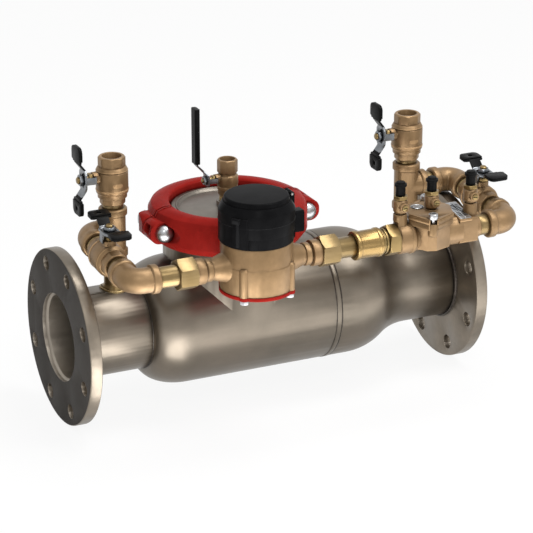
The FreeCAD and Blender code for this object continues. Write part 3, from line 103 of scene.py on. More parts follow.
def mixColour(tree, fac, first, second, blend="MIX"):
    node = addNode(tree, "ShaderNodeMix", data_type="RGBA", blend_type=blend)
    for socket, value in ((node.inputs[0], fac), (node.inputs[6], first), (node.inputs[7], second)):
        if isinstance(value, bpy.types.NodeSocket):
            tree.links.new(value, socket)
        else:
            socket.default_value = value
    return node.outputs[2]


# each layer is a height, its depth in millimetres and its strength
def bumps(tree, principled, layers):
    normal = None
    for height, depth, strength in layers:
        inputs = {"Height": height, "Distance": depth / 1000, "Strength": strength}
        if normal is not None:
            inputs["Normal"] = normal
        normal = addNode(tree, "ShaderNodeBump", inputs).outputs["Normal"]
    tree.links.new(normal, principled.inputs["Normal"])


# painted shade in the corners and painted highlights on the edges, both found by ambient occlusion
def weathered(tree, colour, finish):
    # the corner colour is painted shade, laid where ambient occlusion finds the surface hemmed in
    if "dirt" in finish:
        hollow = addNode(tree, "ShaderNodeAmbientOcclusion", {"Distance": finish["dirtReach"] / 1000}, samples=6)
        amount = spread(tree, hollow.outputs["AO"], finish["dirtAmount"], 0.0, 0.3, 0.95)
        colour = mixColour(tree, amount, colour, linear(finish["dirt"]))
    # the edge colour is a painted highlight, laid where the inside occlusion finds a convex edge
    if "edge" in finish:
        corner = addNode(tree, "ShaderNodeAmbientOcclusion", {"Distance": finish["edgeReach"] / 1000}, samples=6,
                         inside=True)
        amount = spread(tree, corner.outputs["AO"], finish["edgeAmount"], 0.0, 0.35, 0.85)
        colour = mixColour(tree, amount, colour, linear(finish["edge"]))
    return colour


def metal(name, finish):
    material, tree, principled = newMaterial(name, **{"Metallic": finish["metallic"],
                                                      "Specular IOR Level": finish.get("shine", 0.5)})
    stretch = finish.get("stretch", (1, 1, 1))
    blotch = noise(tree, finish["blotch"], 4.0)
    colour = ramp(tree, blotch, 0.34, 0.68, linear(finish["dark"]), linear(finish["light"]))
    colour = mixColour(tree, spread(tree, noise(tree, finish["grain"] * 6, 3.0, stretch), 0.0, 0.35, 0.35, 0.75),
                       colour, linear(finish["dark"]))
    # painted corner shade and painted edge highlights go into the base colour
    tree.links.new(weathered(tree, colour, finish), principled.inputs["Base Color"])
    rough = finish["rough"]
    tree.links.new(spread(tree, noise(tree, finish["blotch"] / 3, 3.0, stretch), rough - 0.06, rough + 0.08),
                   principled.inputs["Roughness"])
    layers = [(noise(tree, finish["grain"], 3.0, stretch), finish["depth"], 0.5)]
    if "marks" in finish:
        layers.append((latheMarks(tree, *finish["marks"]), finish["markDepth"], 0.4))
    if "swell" in finish:
        layers.append((noise(tree, 8.0, 2.0), finish["swell"], 0.3))
    bumps(tree, principled, layers)
    return material


def plastic(name, finish):
    material, tree, principled = newMaterial(name, **{"Specular IOR Level": finish["shine"]})
    colour = ramp(tree, noise(tree, 22.0, 3.0), 0.32, 0.68, linear(finish["dark"]), linear(finish["light"]))
    # painted corner shade and painted edge highlights go into the base colour
    tree.links.new(weathered(tree, colour, finish), principled.inputs["Base Color"])
    rough = finish["rough"]
    tree.links.new(spread(tree, noise(tree, 12.0, 3.0), rough - 0.05, rough + 0.06), principled.inputs["Roughness"])
    bumps(tree, principled, [(noise(tree, finish["grain"], 2.0), finish["depth"], 0.4)])
    return material


# in each finish, the corner colour with its reach and amount paints shade into the corners, and the edge colour with
# its reach and amount paints a highlight on the edges
metals = {
    # rolled and pickled stainless: grey brown, soft broad highlights, faint lengthwise grain
    "stainless": dict(dark="#686157", light="#746b60", metallic=0.95, rough=0.35, blotch=48.0, grain=1.1, depth=0.02,
                      stretch=(0.12, 1, 1), dirt="#1c1a18", dirtReach=5.0, dirtAmount=0.6),
    # the same steel inside the bore, painted paler as light where the bore lies in shade
    "boreSteelPaintedLight": dict(dark="#8f877c", light="#a0978b", metallic=0.9, rough=0.42, blotch=40.0, grain=1.2, depth=0.02),
    # plate turned on a lathe: fine rings around the pipe's axis, drawn coarser than they are so that they show
    "turnedPlate": dict(dark="#736b60", light="#857b6e", metallic=0.92, rough=0.36, blotch=40.0, grain=1.0,
                        depth=0.02, marks=("RINGS", 1.6, "X"), markDepth=0.03, dirt="#24211e", dirtReach=6.0,
                        dirtAmount=0.6),
    # serrated gasket face, painted dark as shade: nearly matte rings that give little back even at a low angle
    "flangeFacePaintedShade": dict(dark="#423f3c", light="#4b4845", metallic=0.0, shine=0.03, rough=0.6, blotch=90.0, grain=0.9,
                       depth=0.02, marks=("RINGS", 1.3, "X"), markDepth=0.05),
    # cap plate spun from stainless
    "spunCap": dict(dark="#6a645c", light="#7a736a", metallic=0.92, rough=0.38, blotch=40.0, grain=1.0, depth=0.02,
                    marks=("RINGS", 1.5, "Z", (236, 0, 0)), markDepth=0.03, dirt="#24211e", dirtReach=6.0,
                    dirtAmount=0.6),
    # machined stainless inside the valve
    "machinedSteel": dict(dark="#7d7c79", light="#94938f", metallic=1.0, rough=0.3, blotch=30.0, grain=1.2, depth=0.02),
    # nickel-plated bolt heads, forged under the plating
    "platedBolt": dict(dark="#a2a3a5", light="#b9babc", metallic=1.0, rough=0.33, blotch=12.0, grain=1.0, depth=0.02,
                       dirt="#2c2c2d", dirtReach=1.0, dirtAmount=0.3),
    # bright zinc on stamped steel
    "zincPlate": dict(dark="#707376", light="#8c8f92", metallic=1.0, rough=0.3, blotch=14.0, grain=1.3, depth=0.02,
                      dirt="#262728", dirtReach=3.5, dirtAmount=0.75),
    # sand-cast bronze: brown, grainy, with painted shade in its corners and painted highlights on its edges
    "castBronze": dict(dark="#7a6142", light="#907452", metallic=0.62, rough=0.42, blotch=26.0, grain=0.9, depth=0.06,
                       swell=0.3, dirt="#2c2014", dirtReach=4.5, dirtAmount=0.8, edge="#c8a276", edgeReach=1.4,
                       edgeAmount=0.5),
    # red brass nipples and nuts: paler than the castings, drawn smooth
    "redBrass": dict(dark="#7d6945", light="#8c7856", metallic=0.85, rough=0.34, blotch=60.0, grain=1.1, depth=0.004,
                     dirt="#33260f", dirtReach=4.0, dirtAmount=0.7, edge="#dcc994", edgeReach=1.0, edgeAmount=0.45),
    # turned brass sleeve: warm, with tool lines around it
    "turnedSleeve": dict(dark="#8c7349", light="#9e8558", metallic=0.9, rough=0.26, blotch=60.0, grain=1.2, depth=0.004,
                         marks=("BANDS", 1.8, "X"), markDepth=0.06, dirt="#33240f", dirtReach=4.0, dirtAmount=0.75,
                         edge="#e2cd98", edgeReach=1.0, edgeAmount=0.5),
    # yellow brass hexagons and stems: painted highlights on the edges, crisp highlights
    "yellowBrass": dict(dark="#7c6742", light="#8d7850", metallic=0.9, rough=0.33, blotch=60.0, grain=1.2, depth=0.004,
                        dirt="#33280f", dirtReach=3.0, dirtAmount=0.7, edge="#e6d69c", edgeReach=0.9, edgeAmount=0.55),
    # weld metal, darker than the pipe where the heat tinted it
    "weldMetal": dict(dark="#3c3733", light="#58514a", metallic=0.9, rough=0.42, blotch=6.0, grain=0.9, depth=0.06,
                      dirt="#151311", dirtReach=3.0, dirtAmount=0.7),
    # aluminium tag, etched and bare
    "etchedTag": dict(dark="#8e9092", light="#b4b6b8", metallic=0.95, rough=0.33, blotch=5.0, grain=0.8, depth=0.03,
                      stretch=(1, 0.2, 1), dirt="#2a2a2a", dirtReach=1.5, dirtAmount=0.7),
}
# here too the corner colour paints shade into the corners and the edge colour paints a highlight on the edges
plastics = {
    # semi-gloss red enamel over a casting, with painted shade in the corners and painted highlights on the edges
    "redEnamel": dict(dark="#7d1b17", light="#8c201b", shine=0.01, rough=0.26, grain=1.5, depth=0.04, dirt="#2d0605",
                      dirtReach=4.0, dirtAmount=0.75, edge="#a83a33", edgeReach=1.2, edgeAmount=0.3),
    # dipped vinyl on the handles: black, slightly orange-peeled
    "vinyl": dict(dark="#0c0c0c", light="#141414", shine=0.04, rough=0.3, grain=1.6, depth=0.06),
    # moulded rubber caps and gaskets
    "rubber": dict(dark="#0c0c0c", light="#151515", shine=0.04, rough=0.45, grain=0.9, depth=0.05),
    # moulded register housing: satin black with a fine spark texture and painted highlights on its edges
    "housing": dict(dark="#0e0e0f", light="#151516", shine=0.014, rough=0.3, grain=0.8, depth=0.03, edge="#333334",
                    edgeReach=1.2, edgeAmount=0.35),
    # moulded acetal inside the meter and the bypass
    "greyPlastic": dict(dark="#4a4a4a", light="#565656", shine=0.4, rough=0.5, grain=1.0, depth=0.04),
    "dialWhite": dict(dark="#dcdcd6", light="#e8e8e2", shine=0.4, rough=0.45, grain=2.0, depth=0.02),
    "pointerRed": dict(dark="#9a1210", light="#b01613", shine=0.4, rough=0.4, grain=2.0, depth=0.02),
}
looks = {name: metal(name, finish) for name, finish in metals.items()}
looks.update({name: plastic(name, finish) for name, finish in plastics.items()})
dialGlass, glassTree, glassShader = newMaterial("dialGlass", **{"Transmission Weight": 1.0, "Roughness": 0.03,
                                                               "IOR": 1.45})
glassTree.links.new(ramp(glassTree, noise(glassTree, 30.0), 0.2, 0.8, linear("#eef3f2"), linear("#ffffff")),
                    glassShader.inputs["Base Color"])
looks["glass"] = dialGlass
print("stage: materials made")

nodeLooks = {
    "stainless": ["inlet_pipe", "valve_shell", "shell_band", "outlet_reducer"],
    "turnedPlate": ["inlet_flange", "outlet_flange"],
    "spunCap": ["neck_cap"],
    "machinedSteel": ["inlet_check_cage", "outlet_check_cage", "inlet_check_disc", "outlet_check_disc",
                      "inlet_check_spring", "outlet_check_spring", "first_poppet_spring", "second_poppet_spring",
                      "lid_pin"],
    "redEnamel": ["clamp_half_front", "clamp_half_rear", "meter_bottom_plate"],
    "platedBolt": ["clamp_bolts", "plate_bolts", "cover_screws"],
    "zincPlate": ["inlet_test_handle", "outlet_test_handle", "inlet_bypass_handle", "outlet_bypass_handle",
                  "vent_lever"],
    "vinyl": ["vent_grip"],
    "castBronze": ["ball_valve_bodies", "vent_valve_body", "pipe_tees", "pipe_elbows", "meter_case",
                   "bypass_check_body", "bypass_check_cover", "test_cock_bodies"],
    "redBrass": ["pipe_nipples", "meter_tailpieces", "union_nuts"],
    "turnedSleeve": ["sleeve_coupling"],
    "yellowBrass": ["hex_bushing", "gland_nuts", "inlet_test_stem", "outlet_test_stem", "inlet_bypass_stem",
                    "outlet_bypass_stem", "vent_stem", "test_cock_stem_1", "test_cock_stem_2", "test_cock_stem_3"],
    "rubber": ["gaskets", "test_cock_caps"],
    "housing": ["register_housing", "register_lid"],
    "greyPlastic": ["measuring_chamber", "first_poppet", "second_poppet"],
    "dialWhite": ["register_dial"],
    "pointerRed": ["register_pointer"],
    "glass": ["register_glass"],
}


def dress(target, material):
    target.data.materials.clear()
    target.data.materials.append(material)


# welds the loose triangles, grows a dipped coat and rounds the sharp edges, all in millimetres
edges = {"weld": 0.004, "round": 0.35, "angle": 28, "gripRound": 1.2, "gripCoat": 0.7}


def addModifier(target, name, kind, **settings):
    modifier = target.modifiers.new(name, kind)
    for key, value in settings.items():
        setattr(modifier, key, value)


def smoothNode(target, width, coat=0.0):
    target.data.shade_smooth()
    addModifier(target, "weld", "WELD", merge_threshold=edges["weld"] / 1000)
    if coat:
        addModifier(target, "coat", "DISPLACE", mid_level=0.0, strength=coat / 1000)
    addModifier(target, "bevel", "BEVEL", width=width / 1000, segments=2, limit_method="ANGLE",
                angle_limit=math.radians(edges["angle"]), harden_normals=True, miter_outer="MITER_ARC")


# gives the faces that choose() picks one more material
def dressFaces(target, material, choose):
    target.data.materials.append(material)
    for polygon in target.data.polygons:
        if choose(polygon.center, polygon.normal):
            polygon.material_index = len(target.data.materials) - 1


for look, names in nodeLooks.items():
    for name in names:
        dress(nodes[name], looks[look])
        if name == "vent_grip":
            smoothNode(nodes[name], edges["gripRound"], edges["gripCoat"])
        else:
            smoothNode(nodes[name], edges["round"])

# the flanges' faces, painted dark as shade: their place along the pipe and the way they look
flangeFaces = {"inlet_flange": (0.0, -1), "outlet_flange": (558.8, 1)}
for name, (faceX, way) in flangeFaces.items():
    dressFaces(nodes[name], looks["flangeFacePaintedShade"],
               lambda centre, normal: abs(centre.x - faceX / 1000) < 0.0003 and normal.x * way > 0.9)

# faces that look at the pipe's axis are bore, painted paler as light where the bore lies in shade
for name in ("inlet_pipe", "inlet_flange", "outlet_reducer", "outlet_flange"):
    dressFaces(nodes[name], looks["boreSteelPaintedLight"],
               lambda centre, normal: centre.y * normal.y + centre.z * normal.z < -0.02)


# stamped zinc that is dipped in black vinyl beyond two distances from the valve's ball, along the pipe
def dippedZinc(name, ball, flow, ahead, behind):
    material, tree, principled = newMaterial(name, **{"Specular IOR Level": 0.05})
    place = addNode(tree, "ShaderNodeTexCoord").outputs["Object"]
    moved = addNode(tree, "ShaderNodeMapping", {"Vector": place, "Location": -mm(*ball)}).outputs["Vector"]
    along = addNode(tree, "ShaderNodeVectorMath", {0: moved, 1: flow}, operation="DOT_PRODUCT").outputs["Value"]
    front = addNode(tree, "ShaderNodeMath", {0: along, 1: ahead / 1000}, operation="GREATER_THAN").outputs[0]
    back = addNode(tree, "ShaderNodeMath", {0: along, 1: -behind / 1000}, operation="LESS_THAN").outputs[0]
    dipped = addNode(tree, "ShaderNodeMath", {0: front, 1: back}, operation="MAXIMUM").outputs[0]
    finish = metals["zincPlate"]
    zinc = ramp(tree, noise(tree, finish["blotch"], 4.0), 0.34, 0.68, linear(finish["dark"]), linear(finish["light"]))
    # painted corner shade and painted edge highlights go into the base colour
    colour = weathered(tree, mixColour(tree, dipped, zinc, linear("#101010")), finish)
    tree.links.new(colour, principled.inputs["Base Color"])
    tree.links.new(spread(tree, dipped, 1.0, 0.0), principled.inputs["Metallic"])
    tree.links.new(spread(tree, noise(tree, 5.0), 0.25, 0.38), principled.inputs["Roughness"])
    bumps(tree, principled, [(noise(tree, 1.4, 2.0), 0.03, 0.4)])
    return material


# the moulded grips start at vinylFrom, and the arms are dipped from ahead and behind on, seen from the valve's ball;
# the lower valves lie across the pipe, tilted by swing
handles = {"vinylFrom": 26.9, "ahead": 14.0, "behind": 20.0, "swing": math.radians(4.4219),
           "balls": {"inlet_test_handle": (78, 0, 205), "outlet_test_handle": (494.7, 0, 205),
                     "inlet_bypass_handle": (42, -76.77, 125.56), "outlet_bypass_handle": (565.5, -76.77, 125.56)}}
for name, ball in handles["balls"].items():
    flow = Vector((0, 0, 1))
    if "bypass" in name:
        flow = Vector((0, math.cos(handles["swing"]), math.sin(handles["swing"])))
    dress(nodes[name], dippedZinc(name + "Zinc", ball, flow, handles["ahead"], handles["behind"]))
    dressFaces(nodes[name], looks["vinyl"],
               lambda centre, normal: abs((centre - mm(*ball)).dot(flow)) > handles["vinylFrom"] / 1000)

cockHex = {"low": 172.8, "high": 198.8}     # heights between which the test cocks are turned brass
dressFaces(nodes["test_cock_bodies"], looks["yellowBrass"],
           lambda centre, normal: cockHex["low"] / 1000 < centre.z < cockHex["high"] / 1000)
print("stage: nodes dressed")


def makePiece(name, mesh, look, sharp=35, body="pipework"):
    bmesh.ops.remove_doubles(mesh, verts=mesh.verts, dist=0.000005)
    bmesh.ops.recalc_face_normals(mesh, faces=mesh.faces)
    data = bpy.data.meshes.new(name)
    mesh.to_mesh(data)
    mesh.free()
    data.shade_smooth()
    data.set_sharp_from_angle(angle=math.radians(sharp))
    piece = bpy.data.objects.new(name, data)
    scene.collection.objects.link(piece)
    dress(piece, looks[look])
    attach(piece, body)
    return piece


# a round bar bent to a ring around +Z at the origin, then turned to its axis
def ringBar(mesh, radius, bar, steps, sides):
    start = len(mesh.verts)
    section = bmesh.ops.create_circle(mesh, segments=sides, radius=bar / 1000)["verts"]
    bmesh.ops.rotate(mesh, verts=section, cent=(0, 0, 0), matrix=Matrix.Rotation(math.pi / 2, 3, "X"))
    bmesh.ops.translate(mesh, verts=section, vec=mm(radius, 0, 0))
    rims = {edge for vert in section for edge in vert.link_edges}
    bmesh.ops.spin(mesh, geom=section + list(rims), cent=(0, 0, 0), axis=(0, 0, 1), angle=math.tau, steps=steps,
                   use_merge=True)
    mesh.verts.ensure_lookup_table()
    return mesh.verts[start:]


def placeVerts(mesh, verts, place, along):
    turn = Vector((0, 0, 1)).rotation_difference(Vector(along)).to_matrix()
    bmesh.ops.rotate(mesh, verts=verts, cent=(0, 0, 0), matrix=turn)
    bmesh.ops.translate(mesh, verts=verts, vec=mm(*place))


# weld beads around the main pipe: rippled where they were laid by hand
pipeWelds = {"ripple": 0.12, "waveLength": 2.6,
             "beads": {"inletFlangeWeld": (17.2, 58.3, 1.9), "outletFlangeWeld": (541.6, 58.3, 1.9),
                       "shellStartWeld": (107.0, 57.3, 0.8), "bandWeldLeft": (353.0, 83.6, 0.8),
                       "bandWeldRight": (361.0, 83.6, 0.8)}}
for name, (x, radius, bar) in pipeWelds["beads"].items():
    weld = bmesh.new()
    verts = ringBar(weld, radius, bar, steps=216, sides=8)
    waves = round(math.tau * radius / pipeWelds["waveLength"])
    for vert in verts:
        angle = math.atan2(vert.co.y, vert.co.x)
        core = Vector((math.cos(angle), math.sin(angle), 0)) * (radius / 1000)
        vert.co = core + (vert.co - core) * (1 + pipeWelds["ripple"] * math.sin(angle * waves))
    placeVerts(weld, verts, (x, 0, 0), (1, 0, 0))
    makePiece(name, weld, "weldMetal")

# weld beads where the risers stand on the round pipe
riserWelds = {"radius": 17.9, "bar": 1.6, "pipe": 57.15, "lift": 0.2, "ripple": 0.2, "waves": 44,
              "places": {"inletRiserWeld": 78.0, "outletRiserWeld": 494.7}}
for name, x in riserWelds["places"].items():
    weld = bmesh.new()
    verts = ringBar(weld, riserWelds["radius"], riserWelds["bar"], steps=120, sides=8)
    pipe = riserWelds["pipe"] / 1000
    for vert in verts:
        vert.co.z += math.sqrt(pipe ** 2 - min(abs(vert.co.y), pipe) ** 2) + riserWelds["lift"] / 1000
        vert.co.z += riserWelds["ripple"] / 1000 * math.sin(math.atan2(vert.co.y, vert.co.x) * riserWelds["waves"])
    placeVerts(weld, verts, (x, 0, 0), (0, 0, 1))
    makePiece(name, weld, "redBrass")
print("stage: welds laid")

# the last threads that show between a nipple and its fitting
swingWay = Vector((0, -math.cos(handles["swing"]), -math.sin(handles["swing"])))
threads = {"bar": 0.55, "pitch": 1.8, "count": 3, "radius": 13.1, "branch": 131.5, "fromAxis": 37.0,
           "swings": {"inletSwingThreads": 42.0, "outletSwingThreads": 565.5},
           "vent": {"place": (236, 0, 150.8), "radius": 10.4}}


def nippleThreads(name, first, along, radius):
    mesh = bmesh.new()
    for number in range(threads["count"]):
        verts = ringBar(mesh, radius, threads["bar"], steps=64, sides=6)
        placeVerts(mesh, verts, Vector(first) + Vector(along) * (number * threads["pitch"]), along)
    makePiece(name, mesh, "redBrass")


for name, x in threads["swings"].items():
    nippleThreads(name, Vector((x, 0, threads["branch"])) + swingWay * threads["fromAxis"], swingWay, threads["radius"])
nippleThreads("ventThreads", threads["vent"]["place"], (0, 0, 1), threads["vent"]["radius"])
print("stage: threads cut")


# a plate with round corners and a rounded upper rim
def slab(mesh, size, corner, thick):
    made = bmesh.ops.create_grid(mesh, x_segments=1, y_segments=1, size=0.5)["verts"]
    bmesh.ops.scale(mesh, verts=made, vec=mm(size[0], size[1], 1000))
    bmesh.ops.bevel(mesh, geom=made, offset=corner / 1000, segments=4, profile=0.5, affect="VERTICES", material=-1)
    faces = list(mesh.faces)
    grown = bmesh.ops.extrude_face_region(mesh, geom=faces)
    verts = [item for item in grown["geom"] if isinstance(item, bmesh.types.BMVert)]
    bmesh.ops.translate(mesh, verts=verts, vec=mm(0, 0, thick))
    rim = [edge for edge in mesh.edges if all(vert.co.z > thick / 1000 - 1e-6 for vert in edge.verts)]
    bmesh.ops.bevel(mesh, geom=rim, offset=0.0003, segments=2, profile=0.5, affect="EDGES", material=-1)
    return mesh.verts[:]


# bare nameplate on the bypass check, with two rivets and empty fields
nameplate = {"size": (16.0, 44.0), "corner": 1.6, "thick": 0.7, "place": (494.4, -142.5, 141.9), "tilt": 9.5,
             "bedSize": (18.0, 47.0), "bedCorner": 2.4, "bedThick": 3.4, "rivet": 1.3, "rivetAt": 19.0,
             "fields": 8, "fieldSize": (12.5, 1.7), "fieldPitch": 3.8, "fieldProud": 0.12}
tilt = Matrix.Rotation(math.radians(nameplate["tilt"]), 3, "X")


def laidOnBed(mesh, verts, lift):
    bmesh.ops.translate(mesh, verts=verts, vec=mm(0, 0, lift))
    bmesh.ops.rotate(mesh, verts=verts, cent=(0, 0, 0), matrix=tilt)
    bmesh.ops.translate(mesh, verts=verts, vec=mm(*nameplate["place"]))


bed = bmesh.new()
laidOnBed(bed, slab(bed, nameplate["bedSize"], nameplate["bedCorner"], nameplate["bedThick"]), -nameplate["bedThick"])
makePiece("nameplateBed", bed, "castBronze")
plate = bmesh.new()
laidOnBed(plate, slab(plate, nameplate["size"], nameplate["corner"], nameplate["thick"]), 0.0)
makePiece("nameplate", plate, "etchedTag")
rivets = bmesh.new()
for side in (-1, 1):
    start = len(rivets.verts)
    bmesh.ops.create_uvsphere(rivets, u_segments=20, v_segments=10, radius=nameplate["rivet"] / 1000)
    rivets.verts.ensure_lookup_table()
    head = rivets.verts[start:]
    bmesh.ops.scale(rivets, verts=head, vec=(1, 1, 0.5))
    bmesh.ops.translate(rivets, verts=head, vec=mm(0, side * nameplate["rivetAt"], 0))
laidOnBed(rivets, rivets.verts[:], nameplate["thick"])
makePiece("nameplateRivets", rivets, "platedBolt")
fields = bmesh.new()
for number in range(nameplate["fields"]):
    made = bmesh.ops.create_grid(fields, x_segments=1, y_segments=1, size=0.5)["verts"]
    bmesh.ops.scale(fields, verts=made, vec=mm(*nameplate["fieldSize"], 1000))
    middle = (nameplate["fields"] - 1) / 2
    bmesh.ops.translate(fields, verts=made, vec=mm(0, (number - middle) * nameplate["fieldPitch"], 0))
bmesh.ops.solidify(fields, geom=list(fields.faces), thickness=0.0002)
laidOnBed(fields, fields.verts[:], nameplate["thick"] + nameplate["fieldProud"])
makePiece("nameplateFields", fields, "housing")

# bare medallion on the check's cover: stepped rings, the middle one dark
medallion = {"centre": (438.8, -135.4, 152.5), "radius": 8.4, "thick": 0.8, "dark": (3.2, 6.9),
             "steps": ((0.9, -0.45), (1.2, 0.0), (0.5, 0.315))}
disc = bmesh.new()
bmesh.ops.create_circle(disc, segments=64, radius=medallion["radius"] / 1000, cap_ends=True)
raised = bmesh.ops.extrude_face_region(disc, geom=list(disc.faces))
top = [item for item in raised["geom"] if isinstance(item, bmesh.types.BMFace)]
bmesh.ops.translate(disc, verts=[vert for face in top for vert in face.verts], vec=mm(0, 0, medallion["thick"]))
for width, height in medallion["steps"]:
    bmesh.ops.inset_region(disc, faces=top, thickness=width / 1000, depth=0.0)
    bmesh.ops.translate(disc, verts=list({vert for face in top for vert in face.verts}), vec=mm(0, 0, height))
bmesh.ops.translate(disc, verts=disc.verts[:], vec=mm(*medallion["centre"]))
emblem = makePiece("coverMedallion", disc, "etchedTag", sharp=25)
inner, outer = mm(*medallion["dark"], 0).xy
dressFaces(emblem, looks["housing"],
           lambda centre, normal: normal.z > 0.9 and inner < (centre - mm(*medallion["centre"])).xy.length < outer)

# cast collars of the ball valves: a cone at the short end, a bead and a skirt at the long end
castCollars = {"inner": 15.2, "profiles": {"Shoulder": ((20.45, 8.6), (18.2, 12.8), (17.4, 13.3)),
                                           "Bead": ((20.4, -18.0), (20.95, -17.5), (20.95, -15.9), (20.4, -15.4)),
                                           "Skirt": ((17.5, -27.6), (18.5, -26.9), (18.7, -22.0), (20.3, -20.2))},
               "valves": {"inletTest": ((78.0, 0, 205.0), (0, 0, 1)), "outletTest": ((494.7, 0, 205.0), (0, 0, 1)),
                          "inletBypass": ((42.0, -76.77, 125.56), swingWay),
                          "outletBypass": ((565.5, -76.77, 125.56), swingWay)}}


# turns a profile of radius and height around +Z and closes it on the inside
def turnProfile(mesh, profile, inner, steps):
    points = [(inner, profile[0][1]), *profile, (inner, profile[-1][1])]
    verts = [mesh.verts.new(mm(radius, 0, height)) for radius, height in points]
    sides = [mesh.edges.new(pair) for pair in zip(verts, verts[1:] + verts[:1])]
    bmesh.ops.spin(mesh, geom=verts + sides, cent=(0, 0, 0), axis=(0, 0, 1), angle=math.tau, steps=steps,
                   use_merge=True)
    return mesh.verts[:]


for valve, (ball, flow) in castCollars["valves"].items():
    for part, profile in castCollars["profiles"].items():
        collar = bmesh.new()
        placeVerts(collar, turnProfile(collar, profile, castCollars["inner"], 96), ball, flow)
        makePiece(valve + part, collar, "castBronze", sharp=50)

# forged domes of the clamp's bolts, filling their round pockets
domes = {"radius": 11.25, "edge": 3.0, "rise": 8.6, "steps": 10, "reach": 85, "hole": 0.4, "seat": 26.5,
         "neck": 236.0, "height": 128.0, "offset": 100.0}
heads = bmesh.new()
arc = [math.radians(domes["reach"] * step / domes["steps"]) for step in range(domes["steps"] + 1)]
dome = [(domes["radius"], 0.0),
        *[(domes["radius"] * math.cos(turn), domes["edge"] + domes["rise"] * math.sin(turn)) for turn in arc]]
for side in (-1, 1):
    start = len(heads.verts)
    turnProfile(heads, dome, domes["hole"], 64)
    heads.verts.ensure_lookup_table()
    placeVerts(heads, heads.verts[start:], (domes["neck"] + side * domes["offset"], -domes["seat"], domes["height"]),
               (0, -1, 0))
makePiece("clampBoltDomes", heads, "platedBolt")

# raised bare pads cast on the fronts of the upper valves
castPads = {"size": (13.0, 4.6), "corner": 2.2, "thick": 0.8, "belly": 20.3, "sunk": 0.3, "height": 197.0,
            "valves": {"inletCastPad": 78.0, "outletCastPad": 494.7}}
for name, x in castPads["valves"].items():
    pad = bmesh.new()
    verts = slab(pad, castPads["size"], castPads["corner"], castPads["thick"])
    bmesh.ops.rotate(pad, verts=verts, cent=(0, 0, 0), matrix=Matrix.Rotation(math.pi / 2, 3, "X"))
    bmesh.ops.translate(pad, verts=verts, vec=mm(0, castPads["sunk"] - castPads["belly"], 0))
    for vert in verts:
        angle = vert.co.x / (castPads["belly"] / 1000)          # bends the pad round the body
        radius = -vert.co.y
        vert.co.x, vert.co.y = radius * math.sin(angle), -radius * math.cos(angle)
    bmesh.ops.translate(pad, verts=verts, vec=mm(x, 0, castPads["height"]))
    makePiece(name, pad, "castBronze")
print("stage: plates set")

# mould features on the register's housing: a rib and its cap, as size, height and thickness, and a parting line
register = {"centre": (208.5, -148.7), "radius": 47.5, "corner": 1.4, "sunk": 0.3, "turn": -56.0,
            "ribs": {"registerRib": ((9.0, 34.0), 172.0, 2.2), "registerRibCap": ((11.0, 7.0), 188.0, 2.8)},
            "parting": 179.5, "line": 0.45}
for name, (size, height, thick) in register["ribs"].items():
    rib = bmesh.new()
    verts = slab(rib, size, register["corner"], thick)
    bmesh.ops.rotate(rib, verts=verts, cent=(0, 0, 0), matrix=Matrix.Rotation(math.pi / 2, 3, "X"))
    bmesh.ops.translate(rib, verts=verts, vec=mm(0, register["sunk"] - register["radius"], 0))
    turn = Matrix.Rotation(math.radians(register["turn"]), 3, "Z")
    bmesh.ops.rotate(rib, verts=verts, cent=(0, 0, 0), matrix=turn)
    bmesh.ops.translate(rib, verts=verts, vec=mm(*register["centre"], height))
    makePiece(name, rib, "housing")
parting = bmesh.new()
placeVerts(parting, ringBar(parting, register["radius"], register["line"], steps=144, sides=8),
           (*register["centre"], register["parting"]), (0, 0, 1))
makePiece("registerPartingLine", parting, "housing")
print("stage: register detailed")

# floor, lamps and camera
studio = {"floorColour": "#f4f4f3", "floorGlow": 0.9, "skyLevel": 0.55,
          "lamps": {"left": ((-0.3, -1.75, 1.7), (0.45, 0.45), 8.0), "lowRight": ((1.36, -2.19, 0.2), (1.0, 0.56), 2.0),
                    "right": ((1.1, -0.85, 1.75), (0.8, 0.95), 17.0), "above": ((0.62, -0.05, 1.8), (0.6, 0.8), 15.0)},
          "panels": {"bounce": ((0.3, -0.42, -0.108), (1.3, 0.46), 4.2),
                     "shoulderBounce": ((0.08, -0.28, -0.106), (0.13, 0.3), 0.7)}}


def seenDirectly(tree):
    path = addNode(tree, "ShaderNodeLightPath")
    seen = addNode(tree, "ShaderNodeMath", {0: path.outputs["Is Camera Ray"], 1: path.outputs["Is Glossy Ray"]},
                   operation="MAXIMUM")
    return addNode(tree, "ShaderNodeMath", {0: seen.outputs[0], 1: path.outputs["Is Transmission Ray"]},
                   operation="MAXIMUM").outputs[0]


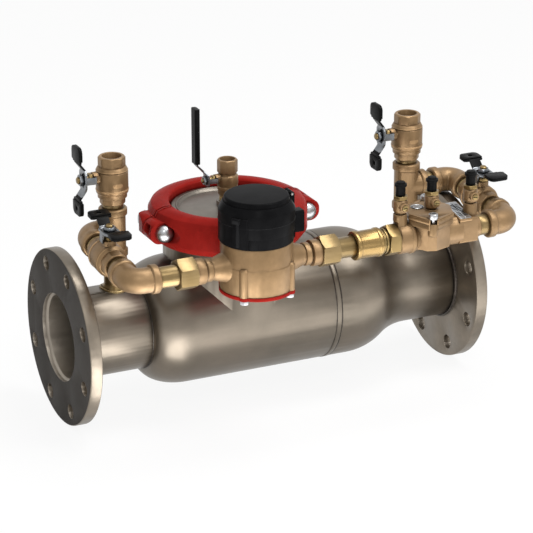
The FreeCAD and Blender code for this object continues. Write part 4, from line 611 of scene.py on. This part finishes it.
floorMaterial, floorTree, floorShader = newMaterial("paleFloor", Roughness=0.7)
floorShader.inputs["Base Color"].default_value = linear(studio["floorColour"])
glow = addNode(floorTree, "ShaderNodeEmission", {"Color": linear("#ffffff"), "Strength": 1.0})
share = addNode(floorTree, "ShaderNodeMath", {0: seenDirectly(floorTree), 1: studio["floorGlow"]}, operation="MULTIPLY")
blend = addNode(floorTree, "ShaderNodeMixShader", {0: share.outputs[0], 1: floorShader.outputs[0],
                                                   2: glow.outputs[0]})
floorTree.links.new(blend.outputs[0], floorTree.nodes["Material Output"].inputs["Surface"])
bpy.ops.mesh.primitive_plane_add(size=14, location=(0.28, 0, -0.1143))
floor = bpy.context.object
floor.name = "floor"
dress(floor, floorMaterial)

world = bpy.data.worlds.new("studio")
scene.world = world
world.use_nodes = True
background = world.node_tree.nodes["Background"]
background.inputs["Color"].default_value = (1, 1, 1, 1)
level = spread(world.node_tree, seenDirectly(world.node_tree), studio["skyLevel"], 1.0)
world.node_tree.links.new(level, background.inputs["Strength"])


def addLamp(name, place, size, power, target=(0.27, -0.05, 0.05)):
    data = bpy.data.lights.new(name, "AREA")
    data.shape = "RECTANGLE"
    data.size, data.size_y = size
    data.energy = power
    lamp = bpy.data.objects.new(name, data)
    lamp.location = place
    lamp.rotation_euler = (Vector(target) - Vector(place)).to_track_quat("-Z", "Y").to_euler()
    lamp.visible_camera = False
    scene.collection.objects.link(lamp)


for name, (place, size, power) in studio["lamps"].items():
    addLamp(name, place, size, power)
# soft panels on the floor in front light the undersides, as the pale floor does in the photograph
for name, (place, size, power) in studio["panels"].items():
    addLamp(name, place, size, power, (*place[:2], 1.0))

# fitted to the photograph: focal length and offsets are in its 533 pixels
view = {"place": (-1018.09, -2814.66, 1242.10), "yaw": -0.4367, "pitch": 0.3718, "focal": 2548.07, "middleX": 269.73,
        "middleY": 278.66, "frame": 533}
cameraData = bpy.data.cameras.new("camera")
cameraData.sensor_width = 36
cameraData.lens = view["focal"] / view["frame"] * 36
cameraData.shift_x = (view["frame"] / 2 - view["middleX"]) / view["frame"]
cameraData.shift_y = (view["middleY"] - view["frame"] / 2) / view["frame"]
camera = bpy.data.objects.new("camera", cameraData)
forward = Vector((-math.sin(view["yaw"]) * math.cos(view["pitch"]), math.cos(view["yaw"]) * math.cos(view["pitch"]),
                  -math.sin(view["pitch"])))
camera.location = mm(*view["place"])
camera.rotation_euler = forward.to_track_quat("-Z", "Y").to_euler()
scene.collection.objects.link(camera)
scene.camera = camera
scene.view_settings.view_transform = "Standard"
print("stage: studio lit")

print("stage: done")
